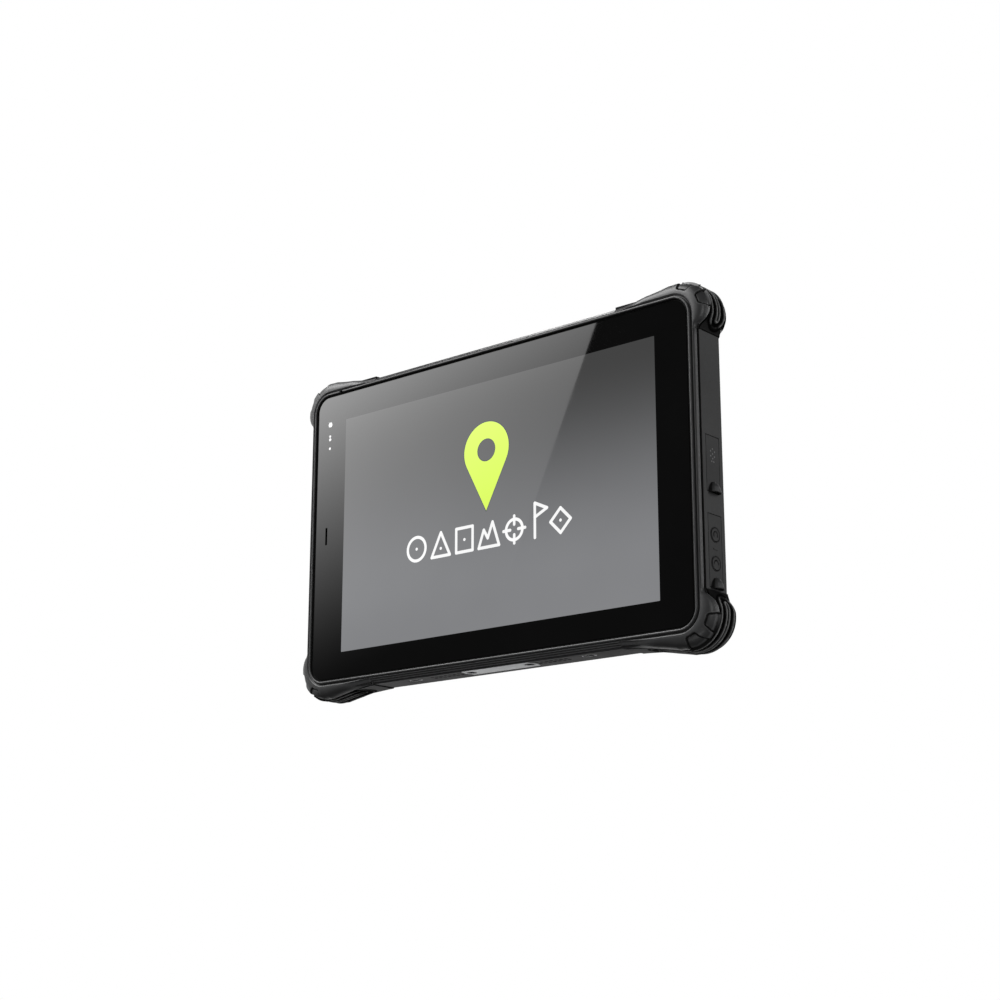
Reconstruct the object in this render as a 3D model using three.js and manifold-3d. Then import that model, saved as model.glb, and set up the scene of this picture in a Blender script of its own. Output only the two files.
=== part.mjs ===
// Rugged data collector: an eight-inch field tablet with rubber corner bumpers.
// Millimetres. X runs along the screen's width, Y from the screen to the back, and Z is up.
// The pieces are built round the centre of the body, and the group lifts them onto Z = 0.

import * as THREE from 'three';
import { mergeVertices } from 'three/addons/utils/BufferGeometryUtils.js';
import Module from 'manifold-3d';

const wasm = await Module();
wasm.setup();

// ---------------------------------------------------------------- driving dimensions

const OVERALL = { width: 222, depth: 20.4, height: 148 };
const FRONT = -OVERALL.depth / 2;
const REAR = OVERALL.depth / 2;
const GAP = 0.3;

const BODY = { halfWidth: 107.4, halfHeight: 70.2, corner: 12, wall: 1.8, chamfer: 2.7 };
const BODY_REAR = 9;
const PARTING = -8.25;
const RIM_BEVEL = { inset: 2.9, depth: 1.8 };

const LIP_OPENING = { halfWidth: 103.5, halfHeight: 66.4, corner: 7.3 };
const GLASS = { halfWidth: 102.6, halfHeight: 65.7, corner: 6.6, front: -9.4, thickness: 1.1 };
const LEDGE = { halfWidth: 99.5, halfHeight: 62.5, corner: 4, front: -7.7, rear: -6.4 };

const DISPLAY_CENTRE = { x: 1.1, z: -0.6 };
const DISPLAY = { width: 177, height: 113, front: -8.1, rear: -5.8 };

const BULGE = { x: OVERALL.width / 2 - BODY.halfWidth, z: OVERALL.height / 2 - BODY.halfHeight };
const BUMPER = {
  tipX: 67.5, tipZ: 52, corner: 15, tipStep: 0.5, ribHeight: 0.8, front: -4.4, chamfer: 3.4,
};
const EAR_REAR = -4.7;

const PORT_Y = -0.65;
const COVER = { width: 8.8, thickness: 1.3, recess: 1.5, plugDepth: 1.5 };
const USB_COVER = { top: 9.7, bottom: -13.3 };
const IO_COVER = { top: -21.9, bottom: -51.2 };
const USB_PORT_Z = -1.8;
const JACK_Z = { dc: -30, audio: -41.3 };

const DOCK = { halfLength: 19.5, width: 9.5, y: -0.95, screwX: 15.65, thickness: 1.2 };
const DOCK_LATCH = { x: 46.8, y: -1.6, length: 6.8, width: 3.6, depth: 3 };
const SPEAKER = { x: 28.6, y: -1.8, holeRadius: 0.75, pitch: 2.5, columns: 7, rows: 2 };

const BOARD = { front: -3.4, rear: -2.4 };
const BATTERY = { width: 108, height: 62, front: -0.5, rear: 6.3 };
const BAY = { clearance: 1, wall: 1.6, coverLip: 5.8, coverThickness: 1.6 };
const BATTERY_SCREWS = { x: 58.6, z: 35.6 };
const HOUSING_SCREWS = { x: 62, z: 61 };
const STRAP_INSERTS = { x: 88, z: 36 };
const CAMERA = { x: -80, flashX: -66, z: 51 };
const BUTTONS = { power: 52, volume_up: 31, volume_down: 18, function: -46 };
const BUTTON = { length: 10.4, width: 3.6, height: 3.6, travel: 0.4 };

// ---------------------------------------------------------------- materials

const FINISHES = {
  frame: { color: 0x3b3c3d, roughness: 0.5, metalness: 0.0 },
  housing: { color: 0x343536, roughness: 0.65, metalness: 0.0 },
  rubber: { color: 0x0d0d0e, roughness: 0.75, metalness: 0.0 },
  cover: { color: 0x2f3031, roughness: 0.7, metalness: 0.0 },
  glass: { color: 0x0a0a0b, roughness: 0.05, metalness: 0.0 },
  screen: { color: 0x87888a, roughness: 0.3, metalness: 0.0 },
  seal: { color: 0x1c1c1e, roughness: 0.85, metalness: 0.0 },
  alloy: { color: 0xa6a8aa, roughness: 0.4, metalness: 1.0 },
  steel: { color: 0x8f9193, roughness: 0.3, metalness: 1.0 },
  brass: { color: 0xb58a45, roughness: 0.35, metalness: 1.0 },
  board: { color: 0x14432c, roughness: 0.5, metalness: 0.0 },
  plastic: { color: 0x17181a, roughness: 0.55, metalness: 0.0 },
  battery: { color: 0x2b2f36, roughness: 0.6, metalness: 0.0 },
  ceramic: { color: 0xc7b99b, roughness: 0.5, metalness: 0.0 },
};

const tablet = new THREE.Group();
tablet.position.z = OVERALL.height / 2;

function add(name, finish, geometry, x = 0, y = 0, z = 0) {
  const mesh = new THREE.Mesh(geometry, new THREE.MeshStandardMaterial(FINISHES[finish]));
  mesh.name = name;
  mesh.position.set(x, y, z);
  tablet.add(mesh);
}

// ---------------------------------------------------------------- solids

function solid(geometry) {
  const plain = geometry.clone();
  plain.deleteAttribute('normal');
  plain.deleteAttribute('uv');
  const merged = mergeVertices(plain, 1e-4);
  return new wasm.Manifold(new wasm.Mesh({
    numProp: 3,
    vertProperties: Float32Array.from(merged.attributes.position.array),
    triVerts: Uint32Array.from(merged.index.array),
  }));
}

function geometryOf(manifold) {
  const mesh = manifold.getMesh();
  const geometry = new THREE.BufferGeometry();
  geometry.setAttribute('position', new THREE.BufferAttribute(mesh.vertProperties, 3));
  geometry.setIndex(new THREE.BufferAttribute(mesh.triVerts, 1));
  geometry.computeVertexNormals();
  return geometry;
}

function join(...solids) {
  return solids.reduce((whole, piece) => whole.add(piece));
}

function cut(base, ...tools) {
  return tools.reduce((rest, tool) => rest.subtract(tool), base);
}

// An outline in the XZ plane, extruded from one depth to another.
function slabGeometry(shape, front, rear, segments = 2) {
  const options = { depth: rear - front, bevelEnabled: false, curveSegments: segments };
  return new THREE.ExtrudeGeometry(shape, options).rotateX(Math.PI / 2).translate(0, rear, 0);
}

function slab(shape, front, rear, segments = 2) {
  return solid(slabGeometry(shape, front, rear, segments));
}

// A slab whose front edge or rear edge is chamfered.
function chamferedSlab(shape, front, rear, inset, depth, end, segments = 4) {
  const options = {
    depth: rear - front - depth,
    bevelThickness: depth,
    bevelSize: inset,
    bevelOffset: -inset,
    bevelSegments: 1,
    curveSegments: segments,
  };
  const geometry = new THREE.ExtrudeGeometry(shape, options).rotateX(Math.PI / 2);
  geometry.translate(0, end === 'front' ? rear : rear - depth, 0);
  const trim = block(-200, 200, front, rear, -200, 200);
  return solid(geometry).intersect(trim);
}

function blockGeometry(width, depth, height) {
  return new THREE.BoxGeometry(width, depth, height);
}

function block(left, right, front, rear, bottom, top) {
  const geometry = blockGeometry(right - left, rear - front, top - bottom);
  geometry.translate((left + right) / 2, (front + rear) / 2, (bottom + top) / 2);
  return solid(geometry);
}

// Rods along each axis, centred on the point given.
function rodGeometry(axis, radius, length, sides = 12) {
  const geometry = new THREE.CylinderGeometry(radius, radius, length, sides);
  if (axis === 'x') geometry.rotateZ(Math.PI / 2);
  if (axis === 'z') geometry.rotateX(Math.PI / 2);
  return geometry;
}

function rod(axis, radius, length, x, y, z, sides = 12) {
  return solid(rodGeometry(axis, radius, length, sides).translate(x, y, z));
}

function roundedRectangle(halfWidth, halfHeight, corner, x = 0, z = 0) {
  const shape = new THREE.Shape();
  const right = halfWidth - corner;
  const top = halfHeight - corner;
  shape.absarc(x + right, z + top, corner, 0, Math.PI / 2, false);
  shape.absarc(x - right, z + top, corner, Math.PI / 2, Math.PI, false);
  shape.absarc(x - right, z - top, corner, Math.PI, 1.5 * Math.PI, false);
  shape.absarc(x + right, z - top, corner, 1.5 * Math.PI, 2 * Math.PI, false);
  return shape;
}

// A stadium plate: its long side lies along X, and its thickness along Z.
function stadiumPlate(length, width, thickness, segments = 2) {
  const shape = roundedRectangle(length / 2, width / 2, width / 2 - 0.001);
  const options = { depth: thickness, bevelEnabled: false, curveSegments: segments };
  return new THREE.ExtrudeGeometry(shape, options).translate(0, 0, -thickness / 2);
}

// ---------------------------------------------------------------- outlines

// The outline of the body with its four corner bulges, shrunk by an amount.
function bulgedOutline(shrink = 0) {
  const right = BODY.halfWidth + BULGE.x - shrink;
  const top = BODY.halfHeight + BULGE.z - shrink;
  const arc = BUMPER.corner - shrink;
  const sideTip = BODY.halfWidth + BUMPER.tipStep;
  const topTip = BODY.halfHeight + BUMPER.tipStep;
  const quarter = new THREE.Path();
  quarter.moveTo(BODY.halfWidth, BUMPER.tipZ);
  quarter.lineTo(sideTip, BUMPER.tipZ);
  quarter.bezierCurveTo(sideTip + 0.5, BUMPER.tipZ + 3, right, BUMPER.tipZ + 5, right, top - arc);
  quarter.absarc(right - arc, top - arc, arc, 0, Math.PI / 2, false);
  quarter.lineTo(right - arc - 4, top);
  quarter.bezierCurveTo(right - arc - 9, top - 1.3, BUMPER.tipX + 8, topTip, BUMPER.tipX, topTip);
  quarter.lineTo(BUMPER.tipX, BODY.halfHeight);
  const points = quarter.getPoints(4);
  const flipX = points.map((p) => new THREE.Vector2(-p.x, p.y)).reverse();
  const flipBoth = points.map((p) => new THREE.Vector2(-p.x, -p.y));
  const flipZ = points.map((p) => new THREE.Vector2(p.x, -p.y)).reverse();
  return new THREE.Shape([...points, ...flipX, ...flipBoth, ...flipZ]);
}

// The region of one corner that its ear and its bumper may fill.
function cornerRegion(signX, signZ) {
  const corners = [
    [BUMPER.tipX, 80], [BUMPER.tipX, 63.5], [84, 61], [94, 58], [99, BUMPER.tipZ],
    [115, BUMPER.tipZ], [115, 80],
  ];
  const points = corners.map(([x, z]) => new THREE.Vector2(signX * x, signZ * z));
  if (signX * signZ < 0) points.reverse();
  return new THREE.Shape(points);
}

function bodySolid(grow, front) {
  const outline = roundedRectangle(
    BODY.halfWidth + grow, BODY.halfHeight + grow, BODY.corner + grow);
  return chamferedSlab(outline, front, BODY_REAR + grow, BODY.chamfer, BODY.chamfer, 'rear');
}

const CORNERS = [
  { name: 'top_left', x: -1, z: 1 },
  { name: 'top_right', x: 1, z: 1 },
  { name: 'bottom_left', x: -1, z: -1 },
  { name: 'bottom_right', x: 1, z: -1 },
];

// ---------------------------------------------------------------- front: bezel, glass, display

function bezelFrame() {
  const rim = chamferedSlab(
    bulgedOutline(), FRONT, PARTING - GAP / 2, RIM_BEVEL.inset, RIM_BEVEL.depth, 'front');
  const earBlank = slab(bulgedOutline(), PARTING - 0.5, EAR_REAR);
  const hollow = bodySolid(0.15, -12);
  const ears = CORNERS.map((corner) => {
    const region = slab(cornerRegion(corner.x, corner.z), FRONT, EAR_REAR);
    return earBlank.intersect(region).subtract(hollow);
  });
  const cavity = roundedRectangle(BODY.halfWidth - 2.2, BODY.halfHeight - 2.2, 10);
  const skirt = slab(cavity, PARTING - 1, LEDGE.rear, 4);
  const glassSeat = slab(
    roundedRectangle(LIP_OPENING.halfWidth, LIP_OPENING.halfHeight, LIP_OPENING.corner),
    FRONT - 1, LEDGE.front, 4);
  const opening = slab(
    roundedRectangle(LEDGE.halfWidth, LEDGE.halfHeight, LEDGE.corner), FRONT - 1, REAR);
  return cut(join(rim, skirt, ...ears), glassSeat, opening);
}

function ring(outer, inner, front, rear) {
  return cut(slab(outer, front, rear), slab(inner, front - 1, rear + 1));
}

function coverGlass() {
  const outline = roundedRectangle(GLASS.halfWidth, GLASS.halfHeight, GLASS.corner);
  const plate = slab(outline, GLASS.front, GLASS.front + GLASS.thickness, 4);
  const slot = slab(roundedRectangle(0.65, 4, 0.6, -96.1, -0.2), -12, -6);
  return cut(plate, slot);
}

// The gasket lies under the glass and stands up round its edge, up to the lip.
function displayGasket() {
  const outer = roundedRectangle(LIP_OPENING.halfWidth - 0.1, LIP_OPENING.halfHeight - 0.1, 7.2);
  const edge = roundedRectangle(GLASS.halfWidth + 0.15, GLASS.halfHeight + 0.15, 6.75);
  const upstand = ring(outer, edge, -9.2, -7.8);
  const bed = ring(outer, roundedRectangle(100, 63, 4), -8.2, -7.8);
  return join(upstand, bed);
}

add('bezel_frame', 'frame', geometryOf(bezelFrame()));
add('cover_glass', 'glass', geometryOf(coverGlass()));
add('display_panel', 'screen',
  blockGeometry(DISPLAY.width, DISPLAY.rear - DISPLAY.front, DISPLAY.height),
  DISPLAY_CENTRE.x, (DISPLAY.front + DISPLAY.rear) / 2, DISPLAY_CENTRE.z);
add('display_gasket', 'seal', geometryOf(displayGasket()));
add('housing_seal', 'seal', geometryOf(ring(
  roundedRectangle(105, 67.8, 9.8), roundedRectangle(103.2, 66, 8), -6.2, -5.2)));

// ---------------------------------------------------------------- rear housing

// The inner faces of the side walls and the rear wall, and the shelf that the seal rests on.
const INNER = { x: BODY.halfWidth - BODY.wall, z: BODY.halfHeight - BODY.wall };
const REAR_WALL = BODY_REAR - BODY.wall;
const SHELF = { front: -5, rear: -4 };
const SCREW_BOSS = { radius: 3.4, length: 6.5, bore: 1.5, sinkRadius: 2.7, sinkDepth: 1.3 };
const STRAP_BOSS = { radius: 4, length: 4.6, bore: 2.8, boreDepth: 3.5 };
const CAMERA_PLATE = { x: -74, halfWidth: 14, halfHeight: 5.6, corner: 3, sink: 1 };
const DOCK_WINDOW = { halfLength: 11.5, halfDepth: 2.8 };

function bayOutline(grow) {
  const halfWidth = BATTERY.width / 2 + BAY.clearance + grow;
  const halfHeight = BATTERY.height / 2 + BAY.clearance + grow;
  return roundedRectangle(halfWidth, halfHeight, 3);
}

function lidOutline(grow) {
  return roundedRectangle(BATTERY_SCREWS.x + 4 + grow, BATTERY_SCREWS.z + 4 + grow, 4);
}

function cameraPlateOutline(grow) {
  return roundedRectangle(CAMERA_PLATE.halfWidth + grow, CAMERA_PLATE.halfHeight + grow,
    CAMERA_PLATE.corner + grow / 2, CAMERA_PLATE.x, CAMERA.z);
}

function cornerPoints({ x, z }) {
  return [[-x, z], [x, z], [-x, -z], [x, -z]];
}

function speakerHoles(centreX) {
  const holes = [];
  for (let column = 0; column < SPEAKER.columns; column += 1) {
    const x = centreX + (column - (SPEAKER.columns - 1) / 2) * SPEAKER.pitch;
    for (let row = 0; row < SPEAKER.rows; row += 1) {
      const y = SPEAKER.y + (row - (SPEAKER.rows - 1) / 2) * SPEAKER.pitch;
      holes.push(rod('z', SPEAKER.holeRadius, 6, x, y, -BODY.halfHeight, 8));
    }
  }
  return holes;
}

// The stepped pocket that a port cover closes.
function coverPocket(cover) {
  const face = BODY.halfWidth;
  const half = COVER.width / 2 + GAP;
  const outer = block(face - COVER.recess, face + 1, PORT_Y - half, PORT_Y + half,
    cover.bottom, cover.top);
  const inner = block(face - COVER.recess - COVER.plugDepth - 0.5, face, PORT_Y - half + 0.9,
    PORT_Y + half - 0.9, cover.bottom + 0.8, cover.top - 0.8);
  return join(outer, inner);
}

function tetherSlot(cover) {
  return block(104.0, 105.5, PORT_Y - 2.6, PORT_Y + 2.6, cover.top - 2, cover.top + 3.4);
}

function usbMouth() {
  const shape = roundedRectangle(4.8, 1.9, 1.85);
  const options = { depth: 12, bevelEnabled: false, curveSegments: 3 };
  const geometry = new THREE.ExtrudeGeometry(shape, options);
  geometry.rotateY(Math.PI / 2).translate(96, PORT_Y, USB_PORT_Z);
  return solid(geometry);
}

function rearHousing() {
  const shell = bodySolid(0, PARTING + GAP / 2);
  const cavity = chamferedSlab(roundedRectangle(INNER.x, INNER.z, BODY.corner - BODY.wall),
    -20, REAR_WALL, BODY.chamfer, BODY.chamfer, 'rear');
  const shelf = ring(
    roundedRectangle(INNER.x + 0.5, INNER.z + 0.5, 10), roundedRectangle(103, 65.8, 8),
    SHELF.front, SHELF.rear);
  const tub = slab(bayOutline(BAY.wall), BATTERY.front - 1.4, REAR_WALL + 0.5);
  const lidSeat = slab(lidOutline(2), BAY.coverLip, REAR_WALL + 0.5);
  const portBlock = block(101.6, INNER.x + 0.5, SHELF.front, PORT_Y + 6,
    IO_COVER.bottom - 1.2, USB_COVER.top + 4.4);
  const dockBlock = block(-22, 22, SHELF.front, 5, -INNER.z - 0.5, -INNER.z + 2.2);
  const latchBlocks = [-1, 1].map((side) => block(
    side * DOCK_LATCH.x - 5, side * DOCK_LATCH.x + 5, -4.6, 1.4, -INNER.z - 0.5, -INNER.z + 3));
  const screwBosses = cornerPoints(HOUSING_SCREWS).map(
    ([x, z]) => rod('y', SCREW_BOSS.radius, SCREW_BOSS.length, x,
      REAR_WALL + 0.5 - SCREW_BOSS.length / 2, z));
  const strapBosses = cornerPoints(STRAP_INSERTS).map(
    ([x, z]) => rod('y', STRAP_BOSS.radius, STRAP_BOSS.length, x,
      REAR_WALL + 0.5 - STRAP_BOSS.length / 2, z));
  const cameraBlock = slab(cameraPlateOutline(2), 5.6, REAR_WALL + 0.5);
  return cut(
    join(shell.subtract(cavity), shelf, tub, lidSeat, portBlock, dockBlock, ...latchBlocks,
      ...screwBosses, ...strapBosses, cameraBlock),
    slab(bayOutline(0), BATTERY.front - 0.2, 12),
    slab(lidOutline(0.2), BODY_REAR - BAY.coverThickness - 0.1, 12),
    ring(bayOutline(1.9), bayOutline(0.2), BAY.coverLip + 0.9, BODY_REAR - BAY.coverThickness),
    ...cornerPoints(BATTERY_SCREWS).map(([x, z]) => rod('y', 1.1, 6, x, 6.5, z, 12)),
    ...cornerPoints(HOUSING_SCREWS).map(
      ([x, z]) => rod('y', SCREW_BOSS.bore, 14, x, 3, z, 12)),
    ...cornerPoints(HOUSING_SCREWS).map(
      ([x, z]) => rod('y', SCREW_BOSS.sinkRadius, 2 * SCREW_BOSS.sinkDepth, x, BODY_REAR, z)),
    ...cornerPoints(STRAP_INSERTS).map(
      ([x, z]) => rod('y', STRAP_BOSS.bore, 2 * STRAP_BOSS.boreDepth, x, BODY_REAR, z)),
    coverPocket(USB_COVER), coverPocket(IO_COVER), tetherSlot(USB_COVER), tetherSlot(IO_COVER),
    usbMouth(),
    rod('x', 4, 10, 100, PORT_Y, JACK_Z.dc, 20), rod('x', 3, 10, 100, PORT_Y, JACK_Z.audio, 20),
    dockPlateSolid(0.2, -BODY.halfHeight - 1, -BODY.halfHeight + DOCK.thickness + 0.4),
    block(-DOCK_WINDOW.halfLength, DOCK_WINDOW.halfLength, DOCK.y - DOCK_WINDOW.halfDepth,
      DOCK.y + DOCK_WINDOW.halfDepth, -72, -60),
    ...[-1, 1].map((side) => rod('z', 1.1, 9, side * DOCK.screwX, DOCK.y, -BODY.halfHeight)),
    ...[-1, 1].map((side) => solid(stadiumPlate(DOCK_LATCH.length + 0.4, DOCK_LATCH.width + 0.4, 7)
      .translate(side * DOCK_LATCH.x, DOCK_LATCH.y, -BODY.halfHeight))),
    ...speakerHoles(-SPEAKER.x), ...speakerHoles(SPEAKER.x),
    ...Object.values(BUTTONS).map((x) => solid(
      stadiumPlate(BUTTON.length + 2 * GAP, BUTTON.width + 2 * GAP, 6)
        .translate(x, PORT_Y, BODY.halfHeight))),
    slab(cameraPlateOutline(0), BODY_REAR - CAMERA_PLATE.sink, 12),
    rod('y', 4, 10, CAMERA.x, 8, CAMERA.z, 20), rod('y', 2.4, 10, CAMERA.flashX, 8, CAMERA.z, 16),
  );
}

// The docking plate's outline has pointed ends; its thickness lies along Z.
function dockPlateSolid(grow, bottom, top) {
  const half = DOCK.halfLength + grow;
  const halfWidth = DOCK.width / 2 + grow;
  const shape = new THREE.Shape();
  shape.moveTo(-half, 0);
  shape.lineTo(-half + 1.6, -halfWidth);
  shape.lineTo(half - 1.6, -halfWidth);
  shape.lineTo(half, 0);
  shape.lineTo(half - 1.6, halfWidth);
  shape.lineTo(-half + 1.6, halfWidth);
  shape.closePath();
  const geometry = new THREE.ExtrudeGeometry(shape, { depth: top - bottom, bevelEnabled: false });
  return solid(geometry.translate(0, DOCK.y, bottom));
}

add('rear_housing', 'housing', geometryOf(rearHousing()));

// ---------------------------------------------------------------- corner bumpers

const RIBS = { fronts: [-2.6, 0.4, 3.4], width: 1.5 };

function bumper(corner) {
  const region = slab(cornerRegion(corner.x, corner.z), BUMPER.front, REAR);
  const core = chamferedSlab(bulgedOutline(BUMPER.ribHeight), BUMPER.front, REAR,
    BUMPER.chamfer, BUMPER.chamfer, 'rear');
  const ribs = RIBS.fronts.map((front) => slab(bulgedOutline(), front, front + RIBS.width));
  return join(core, ...ribs).intersect(region).subtract(bodySolid(0.15, -12));
}

CORNERS.forEach((corner) => {
  add(`bumper_${corner.name}`, 'rubber', geometryOf(bumper(corner)));
});

// ---------------------------------------------------------------- inside: chassis and boards

const CHASSIS = { halfWidth: 101, halfHeight: 64.6, corner: 7, front: -5.4, rear: -4.2 };
const POST = { radius: 2.6, end: 0.8, tapRadius: 1.3, tapDepth: 4.2 };
const CABLE_SLOT = { x: 70, halfLength: 12, bottom: 40, top: 44 };

// A plate with threaded posts, slots for the display's cables, and a window for the sensors.
function midChassis() {
  const outline = roundedRectangle(CHASSIS.halfWidth, CHASSIS.halfHeight, CHASSIS.corner);
  const plate = slab(outline, CHASSIS.front, CHASSIS.rear);
  const start = CHASSIS.rear - 0.4;
  const posts = cornerPoints(HOUSING_SCREWS).map(([x, z]) => rod(
    'y', POST.radius, POST.end - start, x, (POST.end + start) / 2, z));
  const taps = cornerPoints(HOUSING_SCREWS).map(([x, z]) => rod(
    'y', POST.tapRadius, POST.tapDepth + 0.8, x, POST.end - POST.tapDepth / 2 + 0.4, z, 12));
  const cableSlots = [-CABLE_SLOT.x, CABLE_SLOT.x].map((x) => block(
    x - CABLE_SLOT.halfLength, x + CABLE_SLOT.halfLength, CHASSIS.front - 1, CHASSIS.rear + 1,
    CABLE_SLOT.bottom, CABLE_SLOT.top));
  const window = block(-104, -91, CHASSIS.front - 1, CHASSIS.rear + 1, -8, 58);
  return cut(join(plate, ...posts), ...taps, ...cableSlots, window);
}

function mainBoardShape() {
  const shape = new THREE.Shape();
  shape.moveTo(-90, 40);
  shape.lineTo(60.5, 40);
  shape.lineTo(60.5, -48);
  shape.lineTo(90, -48);
  shape.lineTo(90, -22);
  shape.lineTo(101, -22);
  shape.lineTo(101, 46);
  shape.lineTo(90, 57);
  shape.lineTo(-90, 57);
  shape.closePath();
  return shape;
}

function shieldCan(width, height, depth) {
  const can = block(-width / 2, width / 2, -depth / 2, depth / 2, -height / 2, height / 2);
  const inside = block(-width / 2 + 0.3, width / 2 - 0.3, -depth, depth / 2 - 0.3,
    -height / 2 + 0.3, height / 2 - 0.3);
  return geometryOf(cut(can, inside));
}

add('mid_chassis', 'alloy', geometryOf(midChassis()));
add('main_board', 'board', geometryOf(cut(
  slab(mainBoardShape(), BOARD.front, BOARD.rear),
  ...[[-86, 53], [86, 53], [64, -44]].map(([x, z]) => rod('y', 1.1, 4, x, BOARD.rear, z, 12)))));
add('processor_shield', 'steel', shieldCan(28, 30, 1.8), 78, BOARD.rear + 1, 16);
add('radio_shield', 'steel', shieldCan(22, 18, 1.8), 76, BOARD.rear + 1, -28);
add('gnss_antenna', 'ceramic', blockGeometry(14, 4, 14), 28, BOARD.rear + 2.1, 48.5);
add('vibration_motor', 'steel', rodGeometry('y', 4, 2.8, 20), -40, BOARD.rear + 1.5, 48.5);

// ---------------------------------------------------------------- battery and its cover

add('battery_pack', 'battery',
  slabGeometry(roundedRectangle(BATTERY.width / 2, BATTERY.height / 2, 2.5),
    BATTERY.front, BATTERY.rear));
add('battery_seal', 'seal', geometryOf(ring(
  bayOutline(1.6), bayOutline(0.4), BAY.coverLip + 1.1, BODY_REAR - BAY.coverThickness - 0.15)));

function batteryCover() {
  const plate = slab(lidOutline(0), BODY_REAR - BAY.coverThickness, BODY_REAR);
  const heads = cornerPoints(BATTERY_SCREWS).map(([x, z]) => rod('y', 2.4, 2.2, x, BODY_REAR, z));
  const shanks = cornerPoints(BATTERY_SCREWS).map(([x, z]) => rod('y', 1.3, 6, x, 8, z, 12));
  const grooves = [-20, -10, 0, 10, 20].map(
    (z) => slab(roundedRectangle(38, 0.8, 0.78, 0, z), BODY_REAR - 0.6, 12));
  return cut(plate, ...heads, ...shanks, ...grooves);
}

add('battery_cover', 'housing', geometryOf(batteryCover()));

// A pan-head screw whose shank points away from the head, with a hexagon socket.
function screwSolid(headRadius, headHeight, shankRadius, shankLength) {
  const head = rod('y', headRadius, headHeight, 0, -headHeight / 2, 0);
  const shank = rod('y', shankRadius, shankLength + 0.2, 0, -headHeight - shankLength / 2 + 0.1, 0, 8);
  const socket = rod('y', headRadius * 0.45, headHeight, 0, 0, 0, 6);
  return geometryOf(cut(join(head, shank), socket));
}

cornerPoints(BATTERY_SCREWS).forEach(([x, z], index) => {
  add(`battery_cover_screw_${index + 1}`, 'steel', screwSolid(2.1, 0.9, 0.9, 3), x, BODY_REAR - 0.1, z);
});
cornerPoints(HOUSING_SCREWS).forEach(([x, z], index) => {
  add(`housing_screw_${index + 1}`, 'steel', screwSolid(2.4, 1.1, 1.1, 9.6), x, BODY_REAR - 0.1, z);
});

function threadedInsert() {
  return geometryOf(cut(rod('y', 2.6, 3, 0, 0, 0, 16), rod('y', 1.5, 3, 0, 0.6, 0, 12)));
}

cornerPoints(STRAP_INSERTS).forEach(([x, z], index) => {
  add(`strap_insert_${index + 1}`, 'brass', threadedInsert(), x, BODY_REAR - 1.7, z);
});

// ---------------------------------------------------------------- underside: dock and speakers

function dockingPlate() {
  const plate = dockPlateSolid(0, 0, DOCK.thickness);
  const sinks = [-1, 1].map((side) => rod('z', 2.3, 1.4, side * DOCK.screwX, DOCK.y, 0, 16));
  const holes = [-1, 1].map((side) => rod('z', 1.2, 5, side * DOCK.screwX, DOCK.y, 0, 12));
  return geometryOf(cut(plate, ...sinks, ...holes));
}

function dockLatchInsert() {
  const cup = stadiumPlate(DOCK_LATCH.length, DOCK_LATCH.width, DOCK_LATCH.depth);
  const slot = stadiumPlate(DOCK_LATCH.length - 1.2, DOCK_LATCH.width - 1.2, DOCK_LATCH.depth);
  return geometryOf(cut(solid(cup), solid(slot.translate(0, 0, -0.6))));
}

function speakerBox() {
  const box = solid(blockGeometry(12.2, 7, 8));
  const mouth = solid(blockGeometry(11, 5, 2).translate(0, 0, -4));
  return geometryOf(cut(box, mouth));
}

function dockingConnector() {
  const body = solid(blockGeometry(22, 5, 5));
  const pins = [-8, -4.8, -1.6, 1.6, 4.8, 8].map((x) => rod('z', 0.7, 1.4, x, 0, -2.9, 10));
  return geometryOf(join(body, ...pins));
}

const DOCK_PLATE_BOTTOM = -BODY.halfHeight + 0.1;
add('docking_plate', 'alloy', dockingPlate(), 0, 0, DOCK_PLATE_BOTTOM);
add('docking_connector', 'plastic', dockingConnector(), 0, DOCK.y, -BODY.halfHeight + 5.4);

[['left', -1], ['right', 1]].forEach(([name, side]) => {
  const screw = screwSolid(2, 0.5, 0.9, 3).rotateX(-Math.PI / 2);
  add(`docking_screw_${name}`, 'steel', screw, side * DOCK.screwX, DOCK.y, DOCK_PLATE_BOTTOM + 0.05);
  add(`dock_latch_insert_${name}`, 'steel', dockLatchInsert(),
    side * DOCK_LATCH.x, DOCK_LATCH.y, -BODY.halfHeight + 0.1 + DOCK_LATCH.depth / 2);
  add(`speaker_${name}`, 'plastic', speakerBox(), side * SPEAKER.x, SPEAKER.y + 1.3, -INNER.z + 4.3);
});

// ---------------------------------------------------------------- right side: ports and covers

// A port cover: a leaf, a sealing plug behind it, and a pull tab at its lower end.
function portCover(cover, marks) {
  const face = BODY.halfWidth;
  const half = COVER.width / 2;
  const leaf = block(face - COVER.thickness, face, PORT_Y - half, PORT_Y + half,
    cover.bottom + 0.4, cover.top - GAP);
  const plug = block(face - COVER.recess - COVER.plugDepth, face - 1, PORT_Y - half + 1.6,
    PORT_Y + half - 1.6, cover.bottom + 2.6, cover.top - 2.6);
  const hollow = block(face - 9, face - COVER.thickness, PORT_Y - half + 2.4,
    PORT_Y + half - 2.4, cover.bottom + 3.4, cover.top - 3.4);
  const tab = rod('x', 3.7, 1.6, face + 0.2, PORT_Y, cover.bottom + 0.5, 20);
  const tabTrim = block(face - 1, face + 2, PORT_Y - 5, PORT_Y + 5, cover.bottom + 0.5, cover.top);
  return join(leaf.add(plug).subtract(hollow), tab.intersect(tabTrim), ...marks);
}

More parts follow.
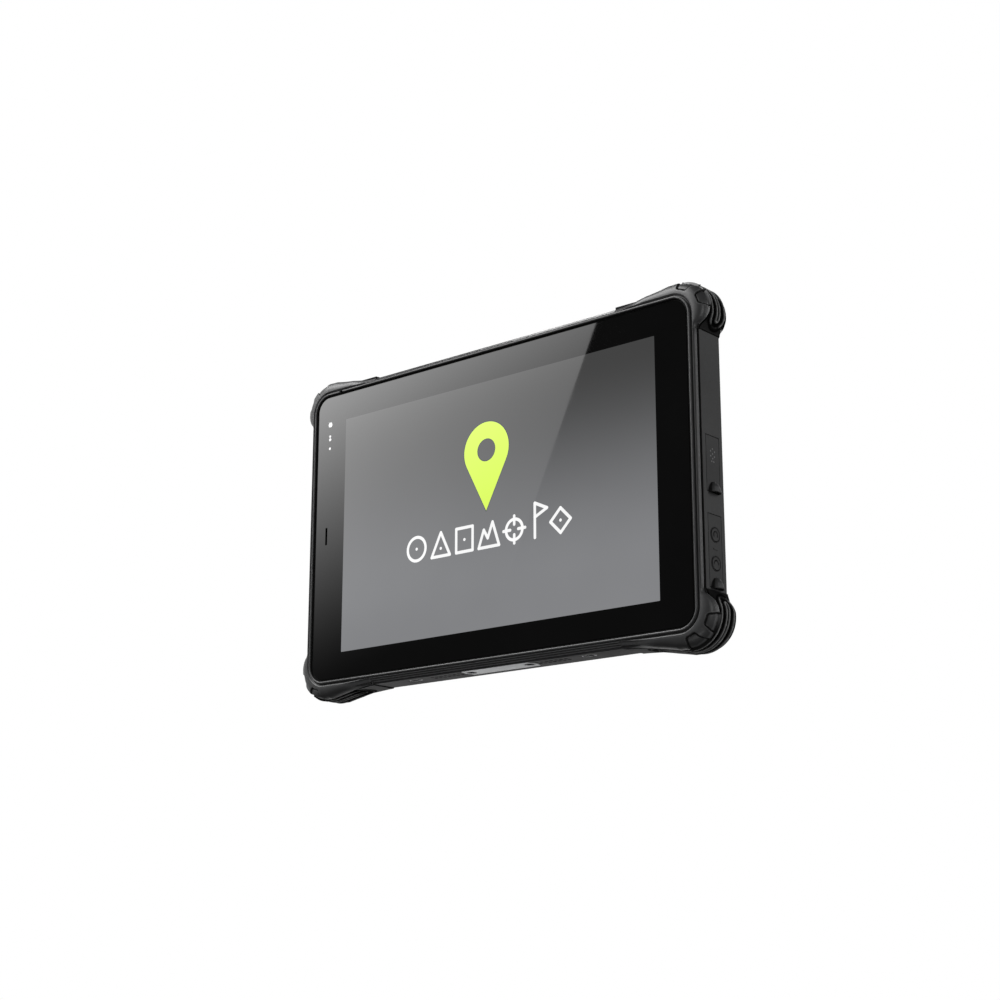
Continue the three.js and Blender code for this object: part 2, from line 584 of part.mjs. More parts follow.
const circles = [JACK_Z.dc, JACK_Z.audio].map(
  (z) => rod('x', 3.1, 1, BODY.halfWidth - 0.25, PORT_Y, z, 20));
const dash = block(BODY.halfWidth - 0.5, BODY.halfWidth + 0.25, PORT_Y - 1.4, PORT_Y + 1.4,
  (JACK_Z.dc + JACK_Z.audio) / 2 - 0.3, (JACK_Z.dc + JACK_Z.audio) / 2 + 0.3);

add('usb_cover', 'cover', geometryOf(portCover(USB_COVER, [])));
add('io_cover', 'cover', geometryOf(portCover(IO_COVER, [...circles, dash])));

// A T-shaped rubber anchor that holds each cover's strap inside the wall.
function coverTether() {
  const bar = solid(blockGeometry(0.9, 4.4, 1.4).translate(0, 0, 2.2));
  const strap = solid(blockGeometry(0.9, 2.6, 3.4));
  return geometryOf(join(bar, strap));
}

add('usb_cover_tether', 'rubber', coverTether(), 104.75, PORT_Y, USB_COVER.top + 0.2);
add('io_cover_tether', 'rubber', coverTether(), 104.75, PORT_Y, IO_COVER.top + 0.2);

// A reversible USB receptacle: a stadium shell with a tongue, closed at the back.
function usbPort() {
  const outer = roundedRectangle(4.5, 1.6, 1.55);
  const inner = roundedRectangle(4.2, 1.3, 1.25);
  const options = { depth: 7.4, bevelEnabled: false, curveSegments: 3 };
  const shell = new THREE.ExtrudeGeometry(outer, options);
  const mouth = new THREE.ExtrudeGeometry(inner, options);
  const tongue = solid(blockGeometry(6.8, 0.7, 6.4).translate(0, 0, 3.6));
  return geometryOf(cut(solid(shell), solid(mouth.translate(0, 0, 0.6))).add(tongue));
}

function jack(height, boreRadius, barrelRadius, hasPin) {
  const body = block(-12, -4.4, -height / 2, height / 2, -height / 2, height / 2);
  const barrel = rod('x', barrelRadius, 6, -3, 0, 0, 20);
  const bore = rod('x', boreRadius, 12, -4, 0, 0, 16);
  const pin = rod('x', 0.7, 10, -5.6, 0, 0, 10);
  const whole = cut(join(body, barrel), bore);
  return geometryOf(hasPin ? whole.add(pin) : whole);
}

const PORT_FACE = BODY.halfWidth - COVER.recess - COVER.plugDepth - 0.6;
const usb = usbPort().rotateY(Math.PI / 2);
add('usb_port', 'steel', usb, PORT_FACE - 7.6, PORT_Y, USB_PORT_Z);
add('dc_jack', 'plastic', jack(6.8, 2.75, 3.3, true), PORT_FACE, PORT_Y, JACK_Z.dc);
add('audio_jack', 'plastic', jack(6, 1.8, 2.7, false), PORT_FACE, PORT_Y, JACK_Z.audio);

// ---------------------------------------------------------------- top edge: buttons

// A key that stands in its hole and is kept in by a flange inside the wall.
function buttonKey() {
  const cap = stadiumPlate(BUTTON.length, BUTTON.width, BUTTON.height);
  const flange = stadiumPlate(BUTTON.length + 2, BUTTON.width + 1.6, 0.8).translate(0, 0, -0.6);
  return geometryOf(join(solid(cap), solid(flange)));
}

// The flat spring of each switch stands just past the end of its key's travel.
const SWITCH_HEIGHT = 1.4;

function buttonBoard() {
  const strip = block(-56, 60, -1.8, 1.8, -0.5, 0.5);
  const switches = Object.values(BUTTONS).map(
    (x) => rod('z', 1.5, 1.2, x, 0, SWITCH_HEIGHT - 0.6));
  return geometryOf(join(strip, ...switches));
}

Object.entries(BUTTONS).forEach(([name, x]) => {
  add(`${name}_button`, 'cover', buttonKey(), x, PORT_Y, BODY.halfHeight - BUTTON.height / 2);
});
add('button_board', 'board', buttonBoard(), 0, PORT_Y,
  BODY.halfHeight - BUTTON.height - BUTTON.travel - 0.1 - SWITCH_HEIGHT);

// ---------------------------------------------------------------- cameras, sensors, earpiece

function lensBarrel(base, height, lensRadius, lensLength) {
  const body = solid(blockGeometry(base, height, base));
  const lens = rod('y', lensRadius, lensLength, 0, height / 2 + lensLength / 2 - 0.1, 0, 16);
  const dish = rod('y', lensRadius * 0.6, 1, 0, height / 2 + lensLength - 0.1, 0, 16);
  return geometryOf(cut(join(body, lens), dish));
}

const frontCamera = lensBarrel(6, 2.4, 2.2, 0.8).rotateX(Math.PI);
add('front_camera', 'plastic', frontCamera, -95.1, -6.2, 52.5);
add('light_sensor', 'plastic', blockGeometry(3.4, 1, 9), -95.2, -7.3, 43.5);
add('earpiece', 'plastic', geometryOf(cut(solid(blockGeometry(5.6, 2.2, 14)),
  solid(blockGeometry(1.6, 1, 9).translate(0, -1.2, 0)))), -95.9, -6.6, -0.2);
add('rear_camera', 'plastic', lensBarrel(9.4, 4.4, 3.4, 1.4), CAMERA.x, 3.2, CAMERA.z);

function cameraBezel() {
  const plate = slab(cameraPlateOutline(-0.2), BODY_REAR - 0.9, BODY_REAR + 0.2);
  return cut(plate,
    rod('y', 4.4, 1.6, CAMERA.x, BODY_REAR + 0.4, CAMERA.z, 24),
    rod('y', 3.6, 6, CAMERA.x, 8, CAMERA.z, 24),
    rod('y', 2.2, 6, CAMERA.flashX, 8, CAMERA.z, 16));
}

add('camera_bezel', 'alloy', geometryOf(cameraBezel()));
add('rear_camera_window', 'glass', rodGeometry('y', 4.2, 0.5, 24), CAMERA.x, 8.95, CAMERA.z);
add('flash_lens', 'ceramic', rodGeometry('y', 2, 3, 16), CAMERA.flashX, 7.5, CAMERA.z);

export default tablet;
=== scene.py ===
"""The looks of a rugged field data collector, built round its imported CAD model.

Lengths in the piece functions are millimetres, measured from the centre of the body, and
row() turns them into metres in the row's frame: X along the screen, Y towards the back, Z up.
"""
import math
from collections import namedtuple

import bmesh
import bpy
import numpy as np
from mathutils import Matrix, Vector


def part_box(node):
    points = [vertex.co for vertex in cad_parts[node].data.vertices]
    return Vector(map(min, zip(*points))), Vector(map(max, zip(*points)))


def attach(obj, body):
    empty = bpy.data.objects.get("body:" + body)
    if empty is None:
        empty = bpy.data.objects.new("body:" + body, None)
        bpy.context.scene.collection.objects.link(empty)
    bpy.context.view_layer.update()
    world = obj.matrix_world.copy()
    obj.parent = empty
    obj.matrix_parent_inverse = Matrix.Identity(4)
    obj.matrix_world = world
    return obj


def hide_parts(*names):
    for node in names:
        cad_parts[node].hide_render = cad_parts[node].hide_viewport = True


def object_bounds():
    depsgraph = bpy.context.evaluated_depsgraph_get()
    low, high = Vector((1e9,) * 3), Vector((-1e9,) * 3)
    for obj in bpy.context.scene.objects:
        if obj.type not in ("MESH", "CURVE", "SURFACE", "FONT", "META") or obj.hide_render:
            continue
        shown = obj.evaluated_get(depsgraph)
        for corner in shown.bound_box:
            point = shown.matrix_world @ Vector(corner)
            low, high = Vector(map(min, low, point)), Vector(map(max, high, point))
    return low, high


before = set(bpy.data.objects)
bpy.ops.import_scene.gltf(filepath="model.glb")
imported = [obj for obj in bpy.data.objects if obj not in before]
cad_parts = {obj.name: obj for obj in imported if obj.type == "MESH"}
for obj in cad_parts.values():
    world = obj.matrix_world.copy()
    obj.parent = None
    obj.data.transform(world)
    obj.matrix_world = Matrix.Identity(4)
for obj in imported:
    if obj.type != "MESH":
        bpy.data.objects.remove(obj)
CAD_LOW, CAD_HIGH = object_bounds()
MM = 0.001
MIDDLE = (CAD_LOW.z + CAD_HIGH.z) / 2 / MM

# ---- sizes taken from the frame


def box_mm(node):
    """A CAD node's lowest and highest corners, in millimetres from the centre of the body."""
    low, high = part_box(node)
    lift = Vector((0, 0, MIDDLE))
    return low / MM - lift, high / MM - lift


def centre_mm(node):
    low, high = box_mm(node)
    return (low + high) / 2


BACK = box_mm("bumper_top_left")[1].y
HOUSING = box_mm("rear_housing")[1]
REAR_FACE = HOUSING.y
ENVELOPE = box_mm("bezel_frame")[1]
GLASS_LOW, GLASS_HIGH = box_mm("cover_glass")
DISPLAY_LOW, DISPLAY_HIGH = box_mm("display_panel")
TIP_X = box_mm("bumper_top_right")[0].x
TIP_Z = box_mm("bumper_top_right")[0].z
PORT_Y = centre_mm("usb_cover").y

# The outlines are drawn round one rectangle: a point stands at a distance from it, along the
# straight sides and round its sharp corners, so that every outline has the same corner centre.
OFFSET = 11.6
CORE_X = HOUSING.x - OFFSET
CORE_Z = HOUSING.z - OFFSET


def row(points):
    """Millimetres from the centre of the body to metres in the row's frame."""
    return (np.asarray(points, float) + (0, 0, MIDDLE)) * MM


# ---- mesh helpers


def placed(name, data):
    """A new object in the scene."""
    made = bpy.data.objects.new(name, data)
    bpy.context.scene.collection.objects.link(made)
    return made


def new_object(name, verts, faces, sharp=40, smooth=True):
    """An object from its points in millimetres, with its faces turned outwards."""
    mesh = bpy.data.meshes.new(name)
    mesh.from_pydata([tuple(v) for v in row(verts)], [], faces)
    mesh.validate()
    bm = bmesh.new()
    bm.from_mesh(mesh)
    bmesh.ops.recalc_face_normals(bm, faces=bm.faces)
    bm.to_mesh(mesh)
    bm.free()
    if smooth:
        mesh.shade_smooth()
        mesh.set_sharp_from_angle(angle=math.radians(sharp))
    return placed(name, mesh)


def finish(piece, look, body="tablet", replaces=()):
    """Gives a piece its material and its body, and says which CAD nodes it replaces."""
    piece.data.materials.clear()
    piece.data.materials.append(MATERIALS[look])
    for polygon in piece.data.polygons:
        polygon.material_index = 0
    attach(piece, body)
    if replaces:
        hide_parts(*replaces)


def paint(piece, name, values):
    """Stores one number for each point of a piece, for its material to read."""
    attribute = piece.data.attributes.new(name, "FLOAT", "POINT")
    attribute.data.foreach_set("value", np.asarray(values, np.float32).ravel())


def grid_faces(rows, columns, close_rows=False, close_columns=False):
    faces = []
    for i in range(rows if close_rows else rows - 1):
        for j in range(columns if close_columns else columns - 1):
            k, m = (i + 1) % rows, (j + 1) % columns
            faces.append((i * columns + j, i * columns + m, k * columns + m, k * columns + j))
    return faces


def capped_faces(rows, columns):
    """The faces of a stack of closed rings, with both ends filled."""
    ends = [tuple(range(columns)), tuple(range((rows - 1) * columns, rows * columns))]
    return grid_faces(rows, columns, close_columns=True) + ends


def grid_normals(grid):
    """Unit normals of a grid of points, from its neighbours."""
    normals = np.cross(np.gradient(grid, axis=0), np.gradient(grid, axis=1))
    return normals / np.maximum(np.linalg.norm(normals, axis=2, keepdims=True), 1e-9)


def raise_to(values, least):
    """Raises an array, or a view of one, to a least value in place."""
    np.maximum(values, least, out=values)


def smoothstep(values, start, end):
    t = np.clip((np.asarray(values, float) - start) / (end - start), 0, 1)
    return t * t * (3 - 2 * t)


def hump(values, centre, width, power=4):
    """1 at the centre, falling to 0 on both sides; a higher power has a flatter top."""
    return np.exp(-((values - centre) / width) ** power)


def running_length(points):
    """The length along a line up to each of its points."""
    steps = np.linalg.norm(np.diff(points, axis=0), axis=1)
    return np.concatenate([[0], np.cumsum(steps)])


def turn(steps):
    """Angles evenly round a full turn."""
    return np.arange(steps) * 2 * math.pi / steps


def block(name, low, high):
    """A plain box, used to cut other pieces."""
    corners = [(x, y, z) for x in (low[0], high[0]) for y in (low[1], high[1])
               for z in (low[2], high[2])]
    faces = [(0, 1, 3, 2), (4, 6, 7, 5), (0, 4, 5, 1), (2, 3, 7, 6), (0, 2, 6, 4), (1, 5, 7, 3)]
    return new_object(name, corners, faces, smooth=False)


def cut(piece, cutters):
    """Adds a modifier for each block that cuts a piece."""
    for cutter in cutters:
        step = piece.modifiers.new("cut", "BOOLEAN")
        step.operation, step.solver, step.object = "DIFFERENCE", "EXACT", cutter


def apply(piece, cutters=()):
    """Applies a piece's modifiers to its mesh, and takes the blocks that cut it away."""
    graph = bpy.context.evaluated_depsgraph_get()
    mesh = bpy.data.meshes.new_from_object(piece.evaluated_get(graph))
    old = piece.data
    piece.modifiers.clear()
    piece.data = mesh
    bpy.data.meshes.remove(old)
    mesh.name = piece.name
    for cutter in cutters:
        bpy.data.objects.remove(cutter, do_unlink=True)


def from_cad(name, node, look, bevel, segments=3, body="tablet", cutters=()):
    """A piece from a CAD node, with clean flat faces, cut where asked, and rounded edges."""
    piece = placed(name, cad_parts[node].data.copy())
    piece.data.name = name
    bm = bmesh.new()
    bm.from_mesh(piece.data)
    bmesh.ops.remove_doubles(bm, verts=bm.verts, dist=1e-6)
    bmesh.ops.dissolve_limit(bm, angle_limit=math.radians(1), verts=bm.verts, edges=bm.edges)
    bm.to_mesh(piece.data)
    bm.free()
    cut(piece, cutters)
    soft = piece.modifiers.new("edges", "BEVEL")
    soft.width, soft.segments = bevel * MM, segments
    soft.limit_method, soft.angle_limit = "ANGLE", math.radians(30)
    apply(piece, cutters)
    piece.data.shade_smooth()
    piece.data.set_sharp_from_angle(angle=math.radians(50))
    level = piece.modifiers.new("level", "WEIGHTED_NORMAL")
    level.mode, level.weight, level.keep_sharp = "FACE_AREA", 100, True
    apply(piece)
    finish(piece, look, body, replaces=[node])


ROUND = 48


def turned(name, node, look, rings, axis=(0, 1, 0)):
    """A turned piece in the place of a CAD node, along an axis that points out of the body.

    Each ring is (height from the node's outer end, radius at each angle).
    """
    low, high = box_mm(node)
    top = (low + high) / 2 + Vector(axis) * abs((high - low).dot(Vector(axis))) / 2
    angles = turn(ROUND)
    spin = np.array(Vector((0, 0, 1)).rotation_difference(Vector(axis)).to_matrix())
    verts = []
    for height, radius in rings:
        radii = np.broadcast_to(np.asarray(radius, float), (ROUND,))
        flat = np.stack([radii * np.cos(angles), radii * np.sin(angles),
                         np.full(ROUND, float(height))], 1)
        verts.append(flat @ spin.T + np.array(top))
    piece = new_object(name, np.concatenate(verts), capped_faces(len(rings), ROUND), sharp=35)
    finish(piece, look, replaces=[node])


def lobes(radius):
    """The outline of a six-lobed driver socket."""
    return radius * (1 + 0.14 * np.cos(6 * turn(ROUND)))


# ---- material helpers


class Paint:
    """A node tree with short calls for the nodes that the materials share."""

    def __init__(self, name):
        self.material = bpy.data.materials.new(name)
        self.material.use_nodes = True
        self.tree = self.material.node_tree
        self.shader = self.tree.nodes["Principled BSDF"]
        self.coords = self.tree.nodes.new("ShaderNodeTexCoord").outputs["Object"]

    def node(self, kind, **settings):
        made = self.tree.nodes.new(kind)
        for key, value in settings.items():
            setattr(made, key, value)
        return made

    def link(self, source, target):
        self.tree.links.new(source, target)

    def put(self, target, value):
        """Links a socket to a node's output, or sets the socket's own value."""
        if isinstance(value, bpy.types.NodeSocket):
            self.link(value, target)
        else:
            target.default_value = value

    def give(self, name, value):
        self.put(self.shader.inputs[name], value)

    def noise(self, size, detail=2.0, roughness=0.5, stretch=None):
        """Noise whose features are about size millimetres across."""
        node = self.node("ShaderNodeTexNoise")
        node.inputs["Scale"].default_value = 1 / (size * MM)
        node.inputs["Detail"].default_value = detail
        node.inputs["Roughness"].default_value = roughness
        source = self.coords
        if stretch:
            mapping = self.node("ShaderNodeMapping")
            mapping.inputs["Scale"].default_value = stretch
            self.link(self.coords, mapping.inputs["Vector"])
            source = mapping.outputs["Vector"]
        self.link(source, node.inputs["Vector"])
        return node.outputs["Fac"]

    def cells(self, size, feature="F1"):
        node = self.node("ShaderNodeTexVoronoi", feature=feature)
        node.inputs["Scale"].default_value = 1 / (size * MM)
        self.link(self.coords, node.inputs["Vector"])
        return node.outputs["Distance"]

    def maths(self, operation, first, second, clamp=False):
        node = self.node("ShaderNodeMath", operation=operation, use_clamp=clamp)
        self.put(node.inputs[0], first)
        self.put(node.inputs[1], second)
        return node.outputs[0]

    def spread(self, value, low, high, start=0.0, end=1.0, **settings):
        """Maps a value from one range to another."""
        node = self.node("ShaderNodeMapRange", **settings)
        self.put(node.inputs["Value"], value)
        for socket, number in (("From Min", start), ("From Max", end),
                               ("To Min", low), ("To Max", high)):
            self.put(node.inputs[socket], number)
        return node.outputs["Result"]

    def mix(self, factor, first, second, blend="MIX"):
        node = self.node("ShaderNodeMix", data_type="RGBA", blend_type=blend)
        self.put(node.inputs["Factor"], factor)
        self.put(node.inputs["A"], first)
        self.put(node.inputs["B"], second)
        return node.outputs["Result"]

    def attribute(self, name):
        return self.node("ShaderNodeAttribute", attribute_name=name).outputs["Fac"]

    def edges(self, radius=0.35):
        """1 on outer and inner edges, 0 on flats, worn away in patches."""
        bevel = self.node("ShaderNodeBevel", samples=6)
        bevel.inputs["Radius"].default_value = radius * MM
        dot = self.node("ShaderNodeVectorMath", operation="DOT_PRODUCT")
        self.link(bevel.outputs["Normal"], dot.inputs[0])
        self.link(self.node("ShaderNodeNewGeometry").outputs["Normal"], dot.inputs[1])
        edge = self.spread(dot.outputs["Value"], 1.0, 0.0, 0.86, 0.995)
        patches = self.spread(self.noise(2.4, 4.0), 0.0, 1.0, 0.42, 0.62)
        return self.maths("MULTIPLY", edge, patches, clamp=True)

    def bump(self, height, strength, distance):
        node = self.node("ShaderNodeBump")
        node.inputs["Strength"].default_value = strength
        node.inputs["Distance"].default_value = distance * MM
        self.link(height, node.inputs["Height"])
        self.give("Normal", node.outputs["Normal"])

    def with_painted_shade(self, colour, rough, kept):
        """Sets colour and roughness, with painted shade that darkens the marked creases to a kept
        share, and dulls them.
        """
        painted_shade = self.attribute("painted_shade")
        dark = self.spread(painted_shade, 1.0, kept)
        self.give("Base Color", self.mix(1.0, colour, dark, blend="MULTIPLY"))
        self.give("Roughness", self.maths("MAXIMUM", rough, painted_shade))

    def surface(self, shader):
        self.link(shader.outputs[0], self.tree.nodes["Material Output"].inputs["Surface"])


def grey(value, tint=(1.0, 1.0, 1.0)):
    return (*(value * share for share in tint), 1.0)


def moulded(name, tone, roughness, grain=0.32, bump=0.22, wear=0.35, tint=(1, 1.01, 1.03)):
    """Moulded plastic: spark-eroded grain, faint mottling, paler worn edges, painted highlights, and
    painted shade in its creases, which are dulled.
    """
    p = Paint(name)
    fine = p.noise(grain, 3.0, 0.6)
    pits = p.cells(grain * 2.2)
    cloud = p.noise(38, 3.0)
    speck = p.noise(1.1, 2.0)
    base = p.mix(p.spread(cloud, 0, 1, 0.35, 0.7), grey(tone * 0.9, tint), grey(tone * 1.1, tint))
    base = p.mix(p.spread(speck, 0, 0.35, 0.4, 0.75), base, grey(tone * 1.35, tint))
    if wear:
        worn = p.maths("MULTIPLY", p.edges(), wear)
        base = p.mix(worn, base, grey(min(tone * 3.2 + 0.02, 0.6), tint))
    # Painted highlights: the rim attribute lightens the colour along edges and tops where light
    # catches, in patches.
    rim = p.maths("MULTIPLY", p.attribute("rim"), p.spread(speck, 0.5, 0.9, 0.3, 0.7))
    base = p.mix(rim, base, grey(min(tone * 4.5, 0.5), tint))
    rough = p.spread(cloud, roughness - 0.05, roughness + 0.06, 0.3, 0.7)
    rough = p.maths("ADD", rough, p.spread(fine, -0.04, 0.05, 0.3, 0.7), clamp=True)
    p.with_painted_shade(base, rough, 0.03)
    height = p.maths("ADD", p.maths("MULTIPLY", fine, 0.6), p.maths("MULTIPLY", pits, 0.4))
    p.bump(height, bump, 0.05)
    return p.material


def rubber(name, tone=0.0025, roughness=0.42):
    """Overmoulded rubber: satin skin, long faint flow marks, scuffed bumps, a painted highlight on its
    ridge tops in scuffed patches, and painted shade in its valleys.
    """
    p = Paint(name)
    skin = p.noise(0.5, 4.0, 0.6)
    cloud = p.noise(22, 4.0)
    scuff = p.noise(3.2, 6.0, 0.7, stretch=(1.0, 3.0, 1.0))
    base = p.mix(p.spread(cloud, 0, 1, 0.35, 0.7), grey(tone * 0.8), grey(tone * 1.3))
    # Painted highlight: the ridge tops turn pale grey in patches of the scuff noise, standing in for
    # the light they catch.
    ridge_highlight = p.maths("MULTIPLY", p.attribute("ridge"), p.spread(scuff, 0.6, 1.0, 0.42, 0.6))
    base = p.mix(ridge_highlight, base, grey(0.31))
    rough = p.spread(cloud, roughness - 0.06, roughness + 0.08, 0.3, 0.7)
    p.with_painted_shade(base, rough, 0.05)
    p.give("Specular IOR Level", 0.07)
    p.bump(p.maths("ADD", skin, p.maths("MULTIPLY", scuff, 0.5)), 0.25, 0.04)
    return p.material


def metal(name, colour, roughness, brushed=None, wear=0.5):
    """Metal with brushed or bead-blasted grain, smudges, and burnished edges."""
    p = Paint(name)
    p.give("Metallic", 1.0)
    grain = p.noise(0.16, 3.0, 0.6, stretch=brushed)
    smudge = p.noise(9, 4.0)
    dark = tuple(c * 0.82 for c in colour)
    light = tuple(min(c * 1.12, 1) for c in colour)
    base = p.mix(p.spread(smudge, 0, 1, 0.35, 0.65), (*dark, 1), (*colour, 1))
    base = p.mix(p.maths("MULTIPLY", p.edges(0.2), wear), base, (*light, 1))
    p.give("Base Color", base)
    rough = p.spread(smudge, roughness - 0.05, roughness + 0.1, 0.3, 0.7)
    rough = p.maths("ADD", rough, p.spread(grain, -0.05, 0.06, 0.3, 0.7), clamp=True)
    p.give("Roughness", rough)
    p.bump(grain, 0.2, 0.02)
    return p.material


# The picture's grey ramp starts this far below the top of the display, and ends lower down.
RAMP_TOP, RAMP_END = 4.8, 93


def bonded_glass(name, tone=0.0024, glow=None, ramp=None):
    """Glass bonded to what lies behind it: black ink, or a lit picture with faint clouding."""
    p = Paint(name)
    smear = p.noise(26, 5.0, 0.65)
    ink = p.mix(p.spread(smear, 0, 1, 0.35, 0.7), grey(tone * 0.85), grey(tone * 1.2))
    p.give("Base Color", ink)
    p.give("IOR", 1.52)
    p.give("Roughness", p.spread(smear, 0.018, 0.045, 0.45, 0.75))
    p.bump(p.noise(60, 1.0), 0.02, 0.02)
    if ramp:
        split = p.node("ShaderNodeSeparateXYZ")
        p.link(p.coords, split.inputs[0])
        top = MIDDLE + DISPLAY_HIGH.z
        down = p.spread(split.outputs["Z"], 0.0, 1.0, (top - RAMP_TOP) * MM, (top - RAMP_END) * MM,
                        interpolation_type="SMOOTHSTEP")
        glow = p.mix(down, *ramp)
    if glow is not None:
        even = p.spread(p.noise(45, 2.0), 0.975, 1.02, 0.3, 0.7)
        p.give("Emission Color", p.mix(1.0, glow, even, blend="MULTIPLY"))
        p.give("Emission Strength", 1.0)
    return p.material


def circuit_board():
    """Green solder mask over a maze of copper traces, with gold pads."""
    p = Paint("solder_mask")
    traces = p.spread(p.cells(2.2, "DISTANCE_TO_EDGE"), 0.0, 1.0, 0.02, 0.08)
    pads = p.spread(p.cells(1.3), 1.0, 0.0, 0.1, 0.16)
    base = p.mix(traces, (0.02, 0.13, 0.05, 1), (0.008, 0.06, 0.03, 1))
    p.give("Base Color", p.mix(pads, base, (0.55, 0.4, 0.14, 1)))
    p.give("Metallic", pads)
    p.give("Roughness", p.spread(p.noise(6, 3.0), 0.25, 0.45))
    p.bump(traces, 0.3, 0.03)
    return p.material


def dark_lens():
    """Coated lens glass: near black with a faint coloured bloom towards its rim."""
    p = Paint("coated_lens")
    fresnel = p.node("ShaderNodeFresnel").outputs[0]
    p.give("Base Color", p.mix(fresnel, grey(0.004), (0.03, 0.015, 0.08, 1)))
    p.give("Roughness", p.spread(p.noise(2.5, 4.0), 0.03, 0.09))
    p.bump(p.noise(1.5), 0.02, 0.01)
    return p.material


def make_materials():
    return {
        "frame": moulded("bezel_plastic", 0.040, 0.40, grain=0.3, bump=0.16),
        "housing": moulded("housing_plastic", 0.030, 0.56, grain=0.42, bump=0.3),
        "cover": moulded("cover_rubber", 0.027, 0.6, grain=0.36, bump=0.26, wear=0.25),
        "rubber": rubber("bumper_rubber"),
        "strap": rubber("strap_rubber", 0.012, 0.55),
        "seal": rubber("seal_rubber", 0.006, 0.7),
        "plastic": moulded("black_plastic", 0.010, 0.5, grain=0.3, bump=0.2, wear=0.2),
        "label": moulded("key_print", 0.42, 0.6, grain=0.25, bump=0.1, wear=0),
        "label_dim": moulded("moulded_mark", 0.18, 0.6, grain=0.25, bump=0.1, wear=0),
        "tape": moulded("battery_wrap", 0.022, 0.45, grain=0.6, bump=0.12, tint=(0.9, 1, 1.2)),
        "ceramic": moulded("antenna_ceramic", 0.52, 0.5, grain=0.5, bump=0.1,
                           tint=(1, 0.93, 0.78)),
        "board": circuit_board(),
        "black_steel": metal("black_oxide_steel", (0.02, 0.02, 0.022), 0.5),
        "alloy": metal("bead_blasted_alloy", (0.8, 0.81, 0.82), 0.42, brushed=(1, 8, 8)),
        "steel": metal("bright_steel", (0.5, 0.5, 0.51), 0.3),
        "dark_steel": metal("blackened_steel", (0.06, 0.06, 0.065), 0.38),
        "brass": metal("brass", (0.72, 0.5, 0.22), 0.32),
        "lens": dark_lens(),
        "glass": bonded_glass("cover_glass_ink"),
        "screen": bonded_glass("screen_image", ramp=(grey(0.0525), grey(0.2236, (0.985, 1, 1.04)))),
        "lime": bonded_glass("screen_lime", glow=(0.70, 0.95, 0.10, 1.0)),
        "white": bonded_glass("screen_white", glow=grey(0.95)),
        "ink": bonded_glass("screen_dark", glow=(0.06, 0.06, 0.11, 1.0)),
        # The sensor windows glow pale: a painted reflection, though they are no lamps.
        "sensor_painted_glow": bonded_glass("sensor_window_painted_glow", tone=0.5, glow=grey(0.55)),
    }


MATERIALS = make_materials()

# ---- outlines round the body

# Lengths round a corner are measured at this radius. A station that only one of a bumper's two
# tips counts for is FAR from the other tip.
ARC = 13.0
FAR = 99.0
WALL_SEAM, BAND_SEAM = -8.45, -6.5
TIP_RISE = 0.5

Stations = namedtuple("Stations", "x z out_x out_z side top")


def stations(side_steps, arc_steps, top_steps):
    """Points round one quarter of the body, from the middle of a side to the middle of the top.

    Each has a place x, z, an outward direction, and its distances past the bumper's two tips,
    the one on the side and the one on the top, which are negative before the tip.
    """
    found = [(CORE_X, z, 1.0, 0.0, z - TIP_Z, FAR) for z in side_steps]
    for angle in np.linspace(0, math.pi / 2, arc_steps + 1)[1:-1]:
        found.append((CORE_X, CORE_Z, math.cos(angle), math.sin(angle),
                      CORE_Z - TIP_Z + ARC * angle,
                      CORE_X - TIP_X + ARC * (math.pi / 2 - angle)))
    found += [(x, CORE_Z, 0.0, 1.0, FAR, x - TIP_X) for x in top_steps]
    return Stations(*np.array(found).T)


def quarter_stations():
    side = np.concatenate([[0, 12, 24, 36, 44, 49, TIP_Z - 0.05],
                           np.arange(TIP_Z + 0.05, CORE_Z, 0.25), [CORE_Z]])
    top = np.concatenate([[CORE_X], np.arange(CORE_X - 0.3, TIP_X + 0.1, -0.4),
                          [TIP_X + 0.05, TIP_X - 0.05, 62, 50, 38, 26, 13, 0]])
    return stations(side, 180, top)


def proudness(spots):
    """How far each station's outer face stands beyond the body."""
    full = (ENVELOPE.x - HOUSING.x) * (1 - spots.out_z) + (ENVELOPE.z - HOUSING.z) * spots.out_z
    full += 2.0 * spots.out_x * spots.out_z
    side_rise = smoothstep(spots.side, 0, CORE_Z - TIP_Z + 0.8)
    top_rise = np.clip(spots.top / 26, 0, 1) ** 1.6
    rise = TIP_RISE + (full - TIP_RISE) * np.minimum(side_rise, top_rise)
    return np.where((spots.side < 0) | (spots.top < 0), 0.0, rise)


def fullness(extra):
    """0 at a tip, where the rubber hugs the housing's chamfer, to 1 at the corner."""
    return smoothstep(extra, 0.5, 2.8)


def seam_depth(spots):
    """The depth at which the front shell meets the bumper or the side wall."""
    ear_side = -8.4 + 3.9 * np.sin(math.pi / 2 * np.clip(spots.side / 11, 0, 1))
    ear_top = BAND_SEAM + 2.0 * smoothstep(spots.top, 0, 24)
    seam = np.where(spots.side < 0, WALL_SEAM, np.minimum(ear_side, ear_top))
    return np.where(spots.top < 0, BAND_SEAM, seam)


# ---- front shell

# Outlines as (distance from the rectangle, depth). The lip stands round the glass, and a groove
# parts it from the bead along the sides or from the flat band along the top and bottom.
LIP = [(7.95, -8.35), (7.95, -9.85), (8.02, -10.05), (8.18, -10.16), (8.38, -10.2),
       (8.6, -10.19), (8.76, -10.12), (8.86, -9.98), (8.9, -9.8)]
BEAD_GROOVE = [(8.94, -9.45), (9.02, -9.28), (9.16, -9.2), (9.34, -9.22), (9.52, -9.36),
               (9.74, -9.56)]
BAND_GROOVE = [(8.94, -9.62), (9.0, -9.5), (9.08, -9.48), (9.16, -9.54), (9.24, -9.6),
               (9.3, -9.6)]
